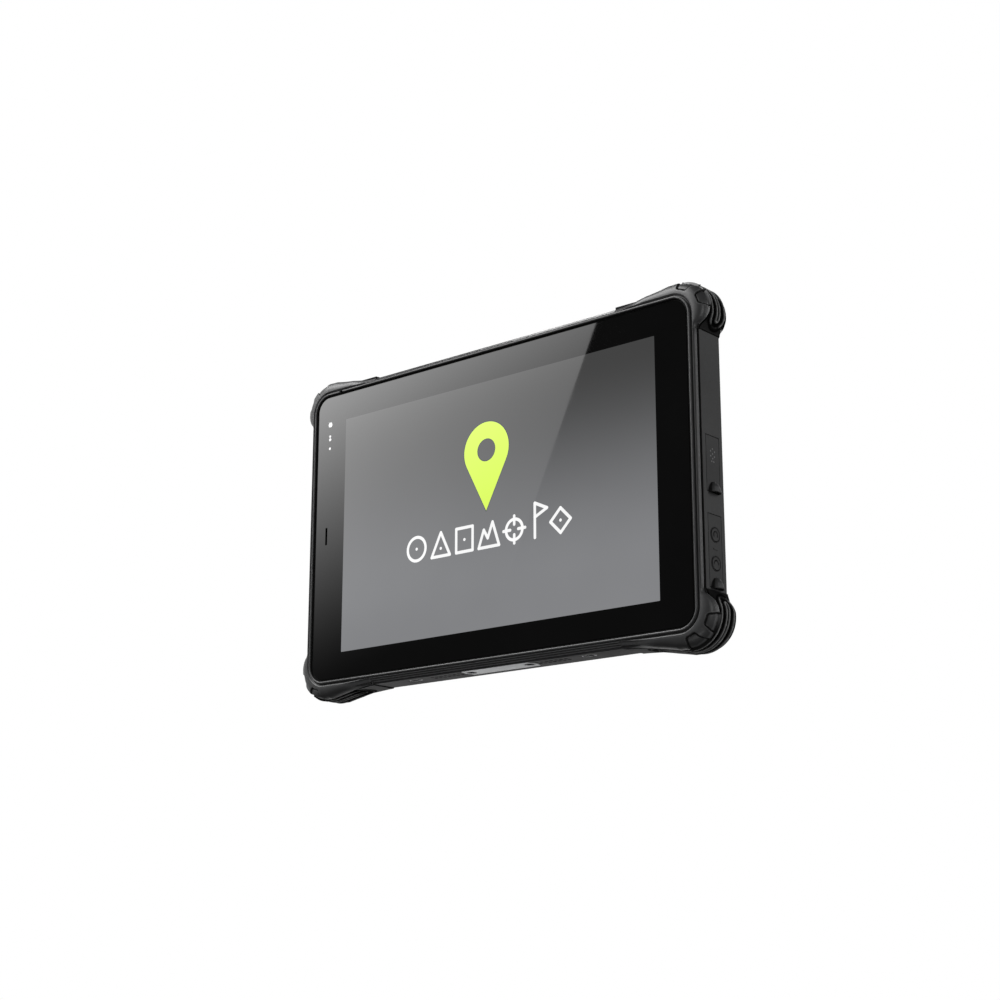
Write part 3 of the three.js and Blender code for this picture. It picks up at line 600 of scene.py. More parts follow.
# The fillets beyond, as shares of the way outwards and of the way back to the seam.
EAR_CURVE = [(0, 0), (0.22, 0.01), (0.46, 0.07), (0.68, 0.19), (0.86, 0.40), (0.96, 0.68), (1, 1)]
BEAD_CURVE = [(0, 0), (0.18, 0.04), (0.40, 0.15), (0.62, 0.34), (0.81, 0.565), (0.936, 0.80),
              (1, 1)]
FILLET_STEPS = 56
FILLET = slice(len(LIP) + len(BEAD_GROOVE), len(LIP) + len(BEAD_GROOVE) + FILLET_STEPS)
ACROSS = np.linspace(0, 1, FILLET_STEPS)
SMOOTHING = 30
SIDE_RIM = -7.6
MICROPHONE = 88

# An ear's scallops: the middle and half the width in degrees, and where each starts, along a
# face EAR_LENGTH long that is measured from EAR_START.
SCALLOPS = ((25.0, 15.0, 0.0), (66.0, 17.0, -1.2))
EAR_LENGTH, EAR_START = 8.6, -2.7
SCALLOP_CORNER = 1.3
OUTSIDE = 9.0
RIB_GROOVES = (0.2, 0.53, 0.86)


def fillet_curve(outline):
    """A fillet's outline, smoothed, as even steps of length from its crest to its seam."""
    fine, knots = np.linspace(0, 1, 400), np.linspace(0, 1, len(outline))
    x, y = (np.interp(fine, knots, values) for values in np.array(outline, float).T)
    past = np.arange(1, SMOOTHING + 1)
    x = np.concatenate([-past[::-1] * x[1], x, np.ones(SMOOTHING)])
    y = np.concatenate([np.zeros(SMOOTHING), y, 1 + past * (y[-1] - y[-2])])
    kernel = np.ones(2 * SMOOTHING + 1) / (2 * SMOOTHING + 1)
    soft = [np.maximum.accumulate(np.convolve(values, kernel, "valid")) for values in (x, y)]
    soft = np.array([(values - values[0]) / np.ptp(values) for values in soft])
    length = running_length(soft.T)
    even = np.linspace(0, length[-1], FILLET_STEPS)
    return np.array([np.interp(even, length, values) for values in soft])


def shell_profile(side, top, extra, seam, bead_curve, ear_curve):
    """The cross-section of the front shell at one station: distance outwards and depth."""
    band = 0.0
    if side == FAR:
        band = 1 - float(smoothstep(top, -0.1, 16)) if top > 0 else 1.0
    ear = float(smoothstep(extra, 0.3, 2.0))
    outer = OFFSET - 0.1 + extra - 0.42 * (1 - ear) * (1 - band)
    if extra > 0:
        outer -= 0.6 * (1 - float(fullness(extra)))
    groove = (1 - band) * np.array(BEAD_GROOVE) + band * np.array(BAND_GROOVE)
    crest = np.array([10.05, -9.74 - 0.11 * min(extra / 3.6, 1)])
    start = (1 - band) * crest + band * np.array([9.38, -9.55])
    curve = (1 - band) * ((1 - ear) * bead_curve + ear * ear_curve) + band * ACROSS
    fillet = start + curve.T * (np.array([outer, seam]) - start)
    tail = [(outer - 0.12, seam + 0.1)]
    if side < 0:
        tail += [(outer - 0.7, seam + 0.14), (outer - 0.7, SIDE_RIM - 0.16),
                 (OFFSET - 0.15, SIDE_RIM - 0.04), (9.3, SIDE_RIM)]
    else:
        inner = 9.3 if extra == 0 else OFFSET + CHAMFER_GAP
        tail += [(inner, depth) for depth in np.linspace(seam + 0.12, min(seam, -8.2), 4)]
    return np.concatenate([LIP, groove, fillet, tail, [(7.95, -8.0)]])


def scallop_field(spots):
    """Signed distance, in millimetres, to the two scallops of an ear; negative inside."""
    angle = np.degrees(np.arctan2(spots.out_z, spots.out_x))[:, None]
    along = ACROSS * EAR_LENGTH + EAR_START
    field = np.full((len(angle), FILLET_STEPS), OUTSIDE)
    for centre, half, start in SCALLOPS:
        width = math.radians(half) * ARC * (0.74 + 0.26 * smoothstep(along, 0, 5.5))
        over = np.radians(np.abs(angle - centre)) * ARC - width + SCALLOP_CORNER
        under = start - along + SCALLOP_CORNER
        outside = np.hypot(np.maximum(over, 0), np.maximum(under, 0))
        inside = np.minimum(np.maximum(over, under), 0)
        field = np.minimum(field, outside + inside - SCALLOP_CORNER)
    on_arc = (spots.side > CORE_Z - TIP_Z) & (spots.top > CORE_X - TIP_X)
    field[~on_arc] = OUTSIDE
    return field


def sink_scallops(grid, painted_shade, rim, field):
    """Sinks the scallops, deeper just inside their edges, with painted shade along that line and a
    painted highlight just outside.
    """
    normals = grid_normals(grid)[:, FILLET]
    facing = np.where(normals[:, :, 1:2] > 0, -1.0, 1.0)
    sunk = 0.5 * smoothstep(-field, 0.0, 0.24) + 0.3 * hump(field, -0.34, 0.28, 2)
    grid[:, FILLET] -= normals * facing * sunk[:, :, None]
    # Painted shade inside the scallops' edges, and a painted highlight outside them.
    painted_shade[:, FILLET] = hump(field, -0.34, 0.38)
    rim[:, FILLET] = 0.7 * hump(field, 0.2, 0.16, 2)


def quarter_shell(spots, extra):
    """One quarter of the shell: a grid of points, with the painted shade and the painted highlights on
    it.
    """
    bead_curve, ear_curve = fillet_curve(BEAD_CURVE), fillet_curve(EAR_CURVE)
    profiles = np.array([
        shell_profile(side, top, rise, seam, bead_curve, ear_curve)
        for side, top, rise, seam in zip(spots.side, spots.top, extra, seam_depth(spots))])
    outwards, depth = profiles[:, :, 0], profiles[:, :, 1]
    grid = np.stack([spots.x[:, None] + spots.out_x[:, None] * outwards, depth,
                     spots.z[:, None] + spots.out_z[:, None] * outwards], 2)
    painted_shade, rim = np.zeros(depth.shape), np.zeros(depth.shape)
    sink_scallops(grid, painted_shade, rim, scallop_field(spots))
    # Painted highlight along the ears' outer edge, strongest on the sides.
    rim[:, FILLET.stop - 5:FILLET.stop] = 0.8 * ((extra > 0) * spots.out_x)[:, None]
    bead = spots.side < 0
    # Along the side beads: painted shade on the inner half, and a painted highlight on the outer part.
    painted_shade[bead, FILLET] = 0.65 * (1 - smoothstep(ACROSS, 0.05, 0.6))
    rim[bead, FILLET] = 0.85 * hump(ACROSS, 0.75, 0.2)
    lift = 0.6 * (1 - fullness(extra)) * (extra > 0) * spots.out_z
    grid[:, FILLET, 2] += lift[:, None] * smoothstep(ACROSS, 0.0, 0.6)
    grid[:, FILLET.stop, 2] += lift
    return grid, painted_shade, rim


def shade_underside(spots, extra, grid, painted_shade, rim):
    """The lower quarters: painted shade along the ears' lower edge with a painted highlight just
    inside it, painted highlights on the tips, and ribs along the bottom band with painted shade in
    their grooves and a painted highlight beside each.
    """
    low = ((extra > 0) * smoothstep(spots.out_z, 0.2, 0.6))[:, None]
    raise_to(painted_shade[:, FILLET], low * smoothstep(ACROSS, 0.92, 0.97))
    rim[:, FILLET] += low * (0.55 * hump(ACROSS, 0.84, 0.07) - rim[:, FILLET])
    tip = ((spots.top > 0) * (1 - smoothstep(spots.top, 8, 18)))[:, None]
    face = 0.6 * smoothstep(ACROSS, 0.1, 0.25) * (1 - smoothstep(ACROSS, 0.9, 0.95))
    raise_to(rim[:, FILLET], tip * face)
    band = (spots.top < 0)[:, None]
    for centre in RIB_GROOVES:
        dip = band * hump(ACROSS, centre, 0.07)
        grid[:, FILLET, 2] -= 0.34 * dip
        raise_to(painted_shade[:, FILLET], 0.95 * dip)
        raise_to(rim[:, FILLET], band * hump(ACROSS, centre - 0.165, 0.085))


def shade_top_left(extra, grid, painted_shade, rim):
    """The upper left quarter: a painted highlight on the ear, and the microphone's notch in the lip,
    painted dark as shade.
    """
    raise_to(rim[:, FILLET], 0.3 * (extra > 0)[:, None] * smoothstep(ACROSS, 0.1, 0.3))
    notch = np.abs(grid[:, 3, 0] - MICROPHONE) < 0.7
    grid[notch, 2:7, 1] += 1.1
    painted_shade[notch, 1:7] = 1.0


def front_shell():
    """The front shell: its lip, its groove, the bead or band beyond it, and the four ears."""
    spots = quarter_stations()
    extra = proudness(spots)
    quarter = quarter_shell(spots, extra)
    quarters = []
    for sign_x, sign_z in ((1, 1), (-1, 1), (-1, -1), (1, -1)):
        grid, painted_shade, rim = (values.copy() for values in quarter)
        if sign_z < 0:
            shade_underside(spots, extra, grid, painted_shade, rim)
        # Painted shade in the groove behind the lip, heavier on the right and bottom sides than on the
        # top and left.
        shade = np.clip(sign_x * spots.out_x - sign_z * spots.out_z + 0.5, 0, 1)
        painted_shade[:, len(LIP):FILLET.start - 2] = (0.3 + 0.45 * shade)[:, None]
        if (sign_x, sign_z) == (-1, 1):
            shade_top_left(extra, grid, painted_shade, rim)
        # Painted shade, black, on the lip's inner edge and in the seam gaps beyond the fillet.
        painted_shade[:, :2] = painted_shade[:, FILLET.stop:] = 1.0
        layers = np.dstack([grid * (sign_x, 1, sign_z), painted_shade, rim])
        quarters.append(layers[::sign_x * sign_z][:-1])
    shell = np.concatenate(quarters)
    rows, columns = shell.shape[:2]
    piece = new_object("front_shell", shell[:, :, :3].reshape(-1, 3),
                       grid_faces(rows, columns, True, True), sharp=55)
    paint(piece, "painted_shade", shell[:, :, 3])
    paint(piece, "rim", shell[:, :, 4])
    finish(piece, "frame", replaces=["bezel_frame"])


# ---- corner bumpers

PAD_BORDER = [(99, 52), (94, 58), (84, 61), (67.5, 63.5)]
LOOP_DEPTH = 1.1
CHAMFER = 2.7
LOOP_END = 12.5
CHAMFER_GAP = 0.15
FACE_STEPS, TURN_STEPS, PAD_STEPS = 52, 21, 8
RIDGED = slice(3, 70)  # the points of a section that the loop ridges can lift
END_ROUND = 0.3


def bumper_stations():
    side = np.concatenate([[TIP_Z, TIP_Z + 0.08, TIP_Z + 0.2],
                           np.arange(TIP_Z + 0.4, CORE_Z, 0.25), [CORE_Z]])
    top = np.concatenate([[CORE_X], np.arange(CORE_X - 0.3, TIP_X + 0.35, -0.35),
                          [TIP_X + 0.2, TIP_X + 0.08, TIP_X]])
    return stations(side, 120, top)


def bumper_profile(base, outward, outer, seam, border, full):
    """Points round a bumper's section: from its front edge, over its outer face, to its pad."""
    radius = 3.9 - 0.9 * (1 - full)
    back = BACK - 0.8 * (1 - full)
    gap = 0.3 + 0.65 * full
    share = np.linspace(0, 1, TURN_STEPS + 1)[1:]
    angle = share * math.pi / 2
    round_x = full * (1 - np.cos(angle)) + (1 - full) * share
    round_y = full * (1 - np.sin(angle)) + (1 - full) * (1 - share)
    distance = np.concatenate([[OFFSET + CHAMFER_GAP, outer - 0.5 - 1.2 * full, outer - 0.15],
                               np.full(FACE_STEPS, outer), outer - radius * round_x])
    points = base + distance[:, None] * outward
    way = border - points[-1]
    pad = points[-1] + way * np.linspace(0, 1, PAD_STEPS + 1)[1:, None]
    pad_end = border + way / np.linalg.norm(way) * 0.25
    under = [base + reach * outward for reach in (OFFSET - CHAMFER, OFFSET + CHAMFER_GAP)]
    points = np.concatenate([points, pad, [pad_end, pad_end], under])
    depth = np.concatenate([
        [seam + 0.32, seam + 0.3, seam + 0.25 + 0.8 * gap],
        np.linspace(seam + 0.3 + gap, back - radius, FACE_STEPS), back - radius * round_y,
        [back] * PAD_STEPS, [back - 0.15, REAR_FACE + 0.02],
        [REAR_FACE + 0.1, REAR_FACE - CHAMFER]])
    return np.stack([points[:, 0], depth, points[:, 1]], 1)


def pad_border(shares):
    """Points of the pad's inner border; the shares run from the side tip to the top tip."""
    border = np.array(PAD_BORDER, float)
    length = running_length(border)
    return np.stack([np.interp(shares * length[-1], length, places) for places in border.T], 1)


def loop_ridges(length, total, depth):
    """Height of the two nested ridges, and 1 inside the outer one, round a line on the face."""
    height = 0.0
    for half, first in ((0.9, 5.4), (4.1, 6.2)):
        nearest = np.clip(length, first, total - LOOP_END)
        distance = np.hypot(length - nearest, depth - LOOP_DEPTH)
        ridge = np.clip(1 - ((distance - half) / 0.6) ** 2, 0, 1) ** 0.6
        height = np.maximum(height, ridge)
    return height, smoothstep(distance, 6.2, 5.0)


def bumper(name, sign_x, sign_z):
    """One rubber corner: a wrapped lozenge with nested loop ridges and a pad on the back."""
    spots = bumper_stations()
    extra = proudness(spots)
    base = np.stack([spots.x, spots.z], 1)
    outward = np.stack([spots.out_x, spots.out_z], 1)
    length = running_length(base + ARC * outward)
    near_end = np.clip(np.minimum(length, length[-1] - length) / END_ROUND, 0, 1)
    outer = OFFSET - 0.1 + extra - END_ROUND * (1 - np.sqrt(1 - (1 - near_end) ** 2))
    border = pad_border(length / length[-1])
    grid = np.array([bumper_profile(*spot) for spot in zip(
        base, outward, outer, seam_depth(spots), border, fullness(extra))])
    normals = grid_normals(grid)
    towards = np.insert(outward, 1, 0.3, axis=1)[:, None]
    facing = np.sign((normals * towards).sum(2, keepdims=True))
    span = np.zeros(grid.shape[1])
    span[RIDGED] = 1
    fade = smoothstep(extra, 0.8, 2.4)[:, None]
    ridge, valley = loop_ridges(length[:, None], length[-1], grid[:, :, 1])
    ridge = ridge * span * (0.1 + 0.9 * fade)
    sunk = 0.45 * span * smoothstep(extra, 0.6, 2.2)[:, None]
    grid += normals * facing * (0.8 * ridge - sunk)[:, :, None]
    piece = new_object(f"corner_{name}", (grid * (sign_x, 1, sign_z)).reshape(-1, 3),
                       capped_faces(*grid.shape[:2]), sharp=50)
    # The ridge tops, where the rubber's material paints its highlight.
    paint(piece, "ridge", np.clip(ridge * 2.2 - 1.2, 0, 1))
    # Painted shade in the valleys between the ridges, and in the groove along the bumper's front edge.
    painted_shade = valley * np.clip(1 - 2.2 * ridge, 0, 1) * span
    painted_shade[:, :3] = fade
    paint(piece, "painted_shade", painted_shade)
    finish(piece, "rubber", replaces=[f"bumper_{name}"])


# ---- glass, print and picture

GLASS_RADIUS = 6.6
ACTIVE_WIDTH = 172.2
ACTIVE_LEFT = (DISPLAY_LOW.x + DISPLAY_HIGH.x - ACTIVE_WIDTH) / 2
ACTIVE_EDGE = 2.7
LAYER = 0.015
CAP_STEPS = 10
FRONTAL, SIDEWAYS, LEVEL = np.eye(3)[[0, 2]], np.eye(3)[[1, 2]], np.eye(3)[[0, 1]]


def rounded_outline(low_x, high_x, low_z, high_z, radius, steps):
    points = []
    for x, z, start in ((high_x - radius, high_z - radius, 0), (low_x + radius, high_z - radius, 90),
                        (low_x + radius, low_z + radius, 180), (high_x - radius, low_z + radius, 270)):
        points += arc_points(x, z, radius, start, start + 90, steps + 1)
    return np.array(points)


def circle(x, z, radius, steps=32):
    return np.stack([x + radius * np.cos(turn(steps)), z + radius * np.sin(turn(steps))], 1)


def arc_points(x, z, radius, start, end, steps):
    angles = np.radians(np.linspace(start, end, steps))
    return [(x + radius * math.cos(a), z + radius * math.sin(a)) for a in angles]


def print_sheet(name, look, outlines, layers, replaces=()):
    """A flat sheet filled between its outlines, some layers of print above the glass."""
    bm = bmesh.new()
    for points in outlines:
        verts = [bm.verts.new(row((x, GLASS_LOW.y - layers * LAYER, z))) for x, z in points]
        for first, second in zip(verts, verts[1:] + verts[:1]):
            bm.edges.new((first, second))
    bmesh.ops.triangle_fill(bm, edges=bm.edges, use_beauty=True)
    for face in bm.faces:
        if face.normal.y > 0:
            face.normal_flip()
    mesh = bpy.data.meshes.new(name)
    bm.to_mesh(mesh)
    bm.free()
    finish(placed(name, mesh), look, replaces=replaces)


def marks(name, look, lines, width, origin, plane, body="tablet"):
    """Flat round-ended lines, one capsule to a stretch, drawn from an origin in a plane."""
    points, faces = [], []
    for line in lines:
        for (x0, z0), (x1, z1) in zip(line, line[1:]):
            angle = math.degrees(math.atan2(z1 - z0, x1 - x0))
            first = len(points)
            points += arc_points(x0, z0, width / 2, angle + 90, angle + 270, CAP_STEPS)
            points += arc_points(x1, z1, width / 2, angle - 90, angle + 90, CAP_STEPS)
            faces.append(tuple(range(first, len(points))))
    piece = new_object(name, origin + np.array(points) @ plane, faces, smooth=False)
    finish(piece, look, body)


def cover_glass():
    """The glass plate with polished edges, and the earpiece's slot cut through it."""
    front, rear = GLASS_LOW.y, GLASS_HIGH.y
    rings = []
    for inset, depth in ((0.1, rear), (0, rear - 0.1), (0, front + 0.06), (0.06, front),
                         (0.1, front)):
        outline = rounded_outline(GLASS_LOW.x + inset, GLASS_HIGH.x - inset, GLASS_LOW.z + inset,
                                  GLASS_HIGH.z - inset, GLASS_RADIUS - inset, 16)
        rings.append(np.insert(outline, 1, depth, axis=1))
    piece = new_object("cover_glass_plate", np.concatenate(rings),
                       capped_faces(len(rings), len(rings[0])), sharp=25)
    cutters = [block("cut_earpiece", (-96.7, -12, -4.2), (-95.5, -6, 3.8))]
    cut(piece, cutters)
    apply(piece, cutters)
    finish(piece, "glass", replaces=["cover_glass"])


def screen_picture():
    """The lit picture: a grey ramp, a lime map pin and a row of plain survey symbols."""
    window = rounded_outline(ACTIVE_LEFT, ACTIVE_LEFT + ACTIVE_WIDTH, DISPLAY_LOW.z + ACTIVE_EDGE,
                             DISPLAY_HIGH.z - ACTIVE_EDGE, 0.3, 3)
    print_sheet("screen_ground", "screen", [window], 1, replaces=["display_panel"])
    middle = ACTIVE_LEFT + ACTIVE_WIDTH / 2 - 1.8
    pin_z, radius, point = 22.6, 12.4, -4.0
    tilt = math.degrees(math.asin(radius / (pin_z - point)))
    rim = arc_points(middle, pin_z, radius, -tilt, 180 + tilt, 48) + [(middle, point)]
    eye = [tuple(spot) for spot in circle(middle, pin_z, 5.0)]
    print_sheet("screen_pin", "lime", [rim, eye], 2)
    marks("screen_pin_edge", "ink", [rim + rim[:1], eye + eye[:1]], 0.6,
          (0, GLASS_LOW.y - 1.5 * LAYER, 0), FRONTAL)
    marks("screen_symbols", "white", survey_symbols(), 1.35,
          (middle, GLASS_LOW.y - 2 * LAYER, -14.6), FRONTAL)


def survey_symbols():
    """A row of plain survey symbols: target, benchmark, peg, terrain, station, flag, prism."""
    r = 5.2
    dot = [(0, 0), (0, 0.01)]
    symbols = [
        (-39.5, arc_points(0, 0, r, 0, 360, 40)), (-39.5, dot),
        (-25.5, [(-r, -r), (0, r), (r, -r), (-r, -r)]), (-25.5, [(0, -1.8), (0, -1.79)]),
        (-12.1, [(-4.6, -r), (-4.6, r), (4.6, r), (4.6, -r), (-4.6, -r)]), (-12.1, dot),
        (1.5, [(-5.6, -r), (-2.8, 2.4), (-0.6, -1.4), (2.0, r), (5.6, -r), (-5.6, -r)]),
        (15.3, arc_points(0, 0, 4.4, 0, 360, 40)),
        *((15.3, [(x * 5.8, z * 5.8), (x * 2.2, z * 2.2)])
          for x, z in ((1, 0), (-1, 0), (0, 1), (0, -1))),
        (26.3, [(0, -r), (0, 9.4), (6.4, 6.4), (0, 3.4)]),
        (39.7, [(-r, 0), (0, r), (r, 0), (0, -r), (-r, 0)]), (39.7, dot)]
    return [[(place + x, z) for x, z in points] for place, points in symbols]


def front_sensors():
    """The front camera and the light sensors: windows in the black border that glow pale, a painted
    reflection.
    """
    camera, light = centre_mm("front_camera"), centre_mm("light_sensor")
    for name, z, size in (("front_camera_window", camera.z, 1.2),
                          ("light_sensor_upper", light.z + 3.4, 0.6),
                          ("light_sensor_middle", light.z + 1.9, 0.7),
                          ("light_sensor_lower", light.z - 2.4, 0.62)):
        print_sheet(name, "sensor_painted_glow", [circle(camera.x, z, size)], 1)


# ---- housing and its fittings


def housing():
    """The rear housing, with its rim set back where the front shell's band and bead come down."""
    cutters = [block(f"cut_rim_{i}", (-TIP_X - 0.4, -12, low), (TIP_X + 0.4, -6.2, high))
               for i, (low, high) in enumerate(((66.8, 76), (-76, -66.8)))]
    cutters += [block(f"cut_side_{i}", (low, -12, -TIP_Z - 0.2), (high, SIDE_RIM, TIP_Z + 0.2))
                for i, (low, high) in enumerate(((105, 112), (-112, -105)))]
    from_cad("housing_shell", "rear_housing", "housing", 0.22, segments=2, cutters=cutters)


def screw(name, node, look, head_radius, head_height, shank_radius, axis=(0, 1, 0)):
    """A pan-head screw with a six-lobed socket, in the place of its CAD node."""
    low, high = box_mm(node)
    length = abs((high - low).dot(Vector(axis)))
    socket = head_radius * 0.44
    rings = [(-length, shank_radius * 0.7), (-length + 0.4, shank_radius),
             (-head_height, shank_radius), (-head_height, head_radius),
             (-0.3, head_radius), (-0.08, head_radius - 0.09), (0, head_radius - 0.32),
             (0, socket * 1.2), (-0.06, lobes(socket)), (-head_height * 0.8, lobes(socket)),
             (-head_height * 0.85, socket * 0.3)]
    turned(name, node, look, rings, axis)


def insert(name, node):
    """A knurled brass thread insert."""
    outer = 2.6 + 0.07 * np.cos(np.arange(ROUND) * math.pi)
    rings = [(-3.0, outer - 0.15), (-2.8, outer), (-0.25, outer), (0, 2.35), (0, 1.75),
             (-0.25, 1.5), (-0.5, 1.38), (-0.75, 1.5), (-1.0, 1.38), (-1.25, 1.5), (-1.5, 1.38),
             (-1.75, 1.5), (-2.4, 1.4), (-2.4, 0.2)]
    turned(name, node, "brass", rings)


def fittings():
    """The screws, thread inserts, latch cups, docking plate, battery door and ports."""
    for index in range(1, 5):
        screw(f"battery_screw_{index}", f"battery_cover_screw_{index}", "dark_steel", 2.1, 0.9, 0.9)
        screw(f"shell_screw_{index}", f"housing_screw_{index}", "dark_steel", 2.4, 1.1, 1.1)
        insert(f"strap_thread_{index}", f"strap_insert_{index}")
    for side in ("left", "right"):
        screw(f"dock_screw_{side}", f"docking_screw_{side}", "black_steel", 2.0, 0.5, 0.9,
              (0, 0, -1))
        from_cad(f"latch_cup_{side}", f"dock_latch_insert_{side}", "steel", 0.15, segments=2)
    from_cad("dock_plate", "docking_plate", "alloy", 0.15)
    from_cad("battery_door", "battery_cover", "housing", 0.25)
    from_cad("camera_surround", "camera_bezel", "plastic", 0.25)
    for node, look in (("usb_port", "steel"), ("dc_jack", "plastic"), ("audio_jack", "plastic")):
        from_cad(f"{node}_shell", node, look, 0.08, segments=2)


HOLE_PITCH = 2.5
HOLES_Y = -1.3
MESH_Z = -0.03 - HOUSING.z
MESH_RADIUS = 0.85
MESH_SIDES = 16


def speaker_mesh_and_hole_shade(side):
    """Black discs just proud of the bottom face, one to a speaker hole: the black of the mesh behind
    the holes together with painted shade in them.
    """
    centre = centre_mm(f"speaker_{side}")
    verts, faces = [], []
    for column in range(-3, 4):
        for half_row in (-0.5, 0.5):
            disc = circle(centre.x + column * HOLE_PITCH,
                          centre.y + HOLES_Y + half_row * HOLE_PITCH, MESH_RADIUS, MESH_SIDES)
            faces.append(tuple(range(len(verts) + MESH_SIDES - 1, len(verts) - 1, -1)))
            verts += [(x, y, MESH_Z) for x, y in disc]
    finish(new_object(f"speaker_mesh_and_hole_shade_{side}", verts, faces), "seal")


def rear_optics():
    """The rear camera's window, with a polished edge, and the flash's stepped lens."""
    steps = [(-0.12 * (i % 2), 0.85 - 0.12 * i, 0) for i in range(6)]
    for name, node, look, rings in (
            ("camera_glass", "rear_camera_window", "lens",
             [(-1, 1, 0), (-0.15, 1, 0), (0, 1, 0.2), (0, 0.2, 0)]),
            ("flash_window", "flash_lens", "label", [(-1, 1, 0), (0, 1, 0.1), *steps])):
        low, high = box_mm(node)
        radius = (high.x - low.x) / 2
        turned(name, node, look, [(height, radius * share - inset)
                                  for height, share, inset in rings])


# ---- port covers and keys


def cover(name, node, body):
    """A rubber port cover with rounded edges and a scooped pull tab at its lower end."""
    bottom = box_mm(node)[0].z
    trim = block(f"cut_{node}", (HOUSING.x + 0.02, -20, bottom - 1), (HOUSING.x + 9, 20, bottom + 5.4))
    from_cad(name, node, "cover", 0.3, body=body, cutters=[trim])
    pull_tab(f"{name}_tab", bottom - 0.6, body)


def pull_tab(name, base, body):
    """A half-round scoop that rises from the cover to an overhanging lower lip."""
    columns = 25
    root = HOUSING.x - 0.05
    up, across = np.meshgrid(np.linspace(0, 1, 18), np.linspace(-1, 1, columns), indexing="ij")
    round_off = np.sqrt(1 - up ** 2)
    scoop = np.stack([root + 2.7 * round_off * np.sqrt(1 - across ** 2),
                      PORT_Y + across * (3.4 * round_off + 0.02), base + up * 4.6], 2)
    lip = scoop[:1] - (0.06, 0, 0.12)
    under = lip + (0, 0, 0.3)
    under[:, :, 0] = root + (lip[:, :, 0] - root) * 0.7
    foot = under + (0, 0, 1.2)
    foot[:, :, 0] = root - 0.05
    grid = np.concatenate([foot, under, lip, scoop])
    piece = new_object(name, grid.reshape(-1, 3), grid_faces(len(grid), columns), sharp=60)
    painted_shade, rim = np.zeros(grid.shape[:2]), np.zeros(grid.shape[:2])
    # Painted shade under the tab and round the dome's base, and a painted highlight on the dome's top.
    painted_shade[:4] = 1.0
    painted_shade[:, :2] = painted_shade[:, -2:] = 1.0
    rim[5:12, 5:-5] = 0.5
    paint(piece, "painted_shade", painted_shade)
    paint(piece, "rim", rim)
    finish(piece, "cover", body)


def cover_marks():
    """Moulded marks: a cluster of dots on one cover, ringed symbols on the other."""
    low = centre_mm("usb_cover").z + 2.2
    dots, faces = [], []
    for across, up in ((0, 0), (1.3, 0.9), (-1.3, 0.9), (0, 1.9), (1.4, 2.9), (-1.4, 2.9),
                       (0, 3.9), (0.7, -1.2), (-0.7, -1.2)):
        ring = circle(PORT_Y + across, low + up, 0.36, 12)
        faces.append(tuple(range(len(dots), len(dots) + len(ring))))
        dots += [(HOUSING.x + 0.02, y, z) for y, z in ring]
    piece = new_object("usb_cover_dots", dots, faces, smooth=False)
    finish(piece, "label_dim", "usb_cover_leaf")
    dc, audio = centre_mm("dc_jack").z, centre_mm("audio_jack").z
    middle = (dc + audio) / 2
    lines = [arc_points(0, z, 2.75, 0, 360, 36) for z in (dc, audio)]
    lines += [arc_points(0, dc, 1.3, -50, 230, 20), [(0, dc), (0, dc + 0.01)],
              arc_points(0, audio - 0.2, 1.4, 0, 180, 16)]
    lines += [[(y, audio - 0.3), (y, audio - 1.2)] for y in (-1.4, 1.4)]
    lines.append([(-1.2, middle), (1.2, middle)])
    marks("io_cover_marks", "plastic", lines, 0.5, (HOUSING.x + 0.27, PORT_Y, 0), SIDEWAYS,
          "io_cover_leaf")


def keys():
    """The four keys on the top edge, each with its raised mark."""
    symbols = {
        "power": [arc_points(0, 0, 0.85, -240, 60, 24), [(0, 0.2), (0, 1.2)]],
        "volume_up": [[(-1, 0), (1, 0)], [(0, -1), (0, 1)]],
        "volume_down": [[(-1, 0), (1, 0)]],
        "function": [[(x, 0), (x, 0.001)] for x in (-0.9, 0, 0.9)],
    }
    for key, lines in symbols.items():
        node, body = f"{key}_button", f"{key}_key"
        from_cad(f"{key}_cap", node, "cover", 0.28, body=body)
        centre = centre_mm(node)
        marks(f"{key}_mark", "label_dim", lines, 0.35,
              (centre.x, centre.y, box_mm(node)[1].z + LAYER), LEVEL, body)


# ---- stage


def sky():
    """A background that the camera sees as white, and that hardly lights the object."""
    world = bpy.data.worlds.new("studio")
    bpy.context.scene.world = world
    world.use_nodes = True
    nodes, links = world.node_tree.nodes, world.node_tree.links
    nodes.clear()
    mix = nodes.new("ShaderNodeMixShader")
    links.new(nodes.new("ShaderNodeLightPath").outputs["Is Camera Ray"], mix.inputs[0])
    for shader, strength in zip(mix.inputs[1:], (0.05, 1.0)):
        background = nodes.new("ShaderNodeBackground")
        background.inputs["Color"].default_value = grey(1.0)
        background.inputs["Strength"].default_value = strength
        links.new(background.outputs[0], shader)
    links.new(mix.outputs[0], nodes.new("ShaderNodeOutputWorld").inputs[0])


def panel(name, place, width, height, power):
    """A soft rectangular light that faces the middle of the object."""
    light = bpy.data.lights.new(name, "AREA")
    light.shape = "RECTANGLE"
    light.size, light.size_y = width, height
    light.energy = power
    lamp = placed(name, light)
    lamp.location = place
    lamp.rotation_euler = (Vector(place) - Vector((0, 0, 0.074))).to_track_quat("Z", "Y").to_euler()


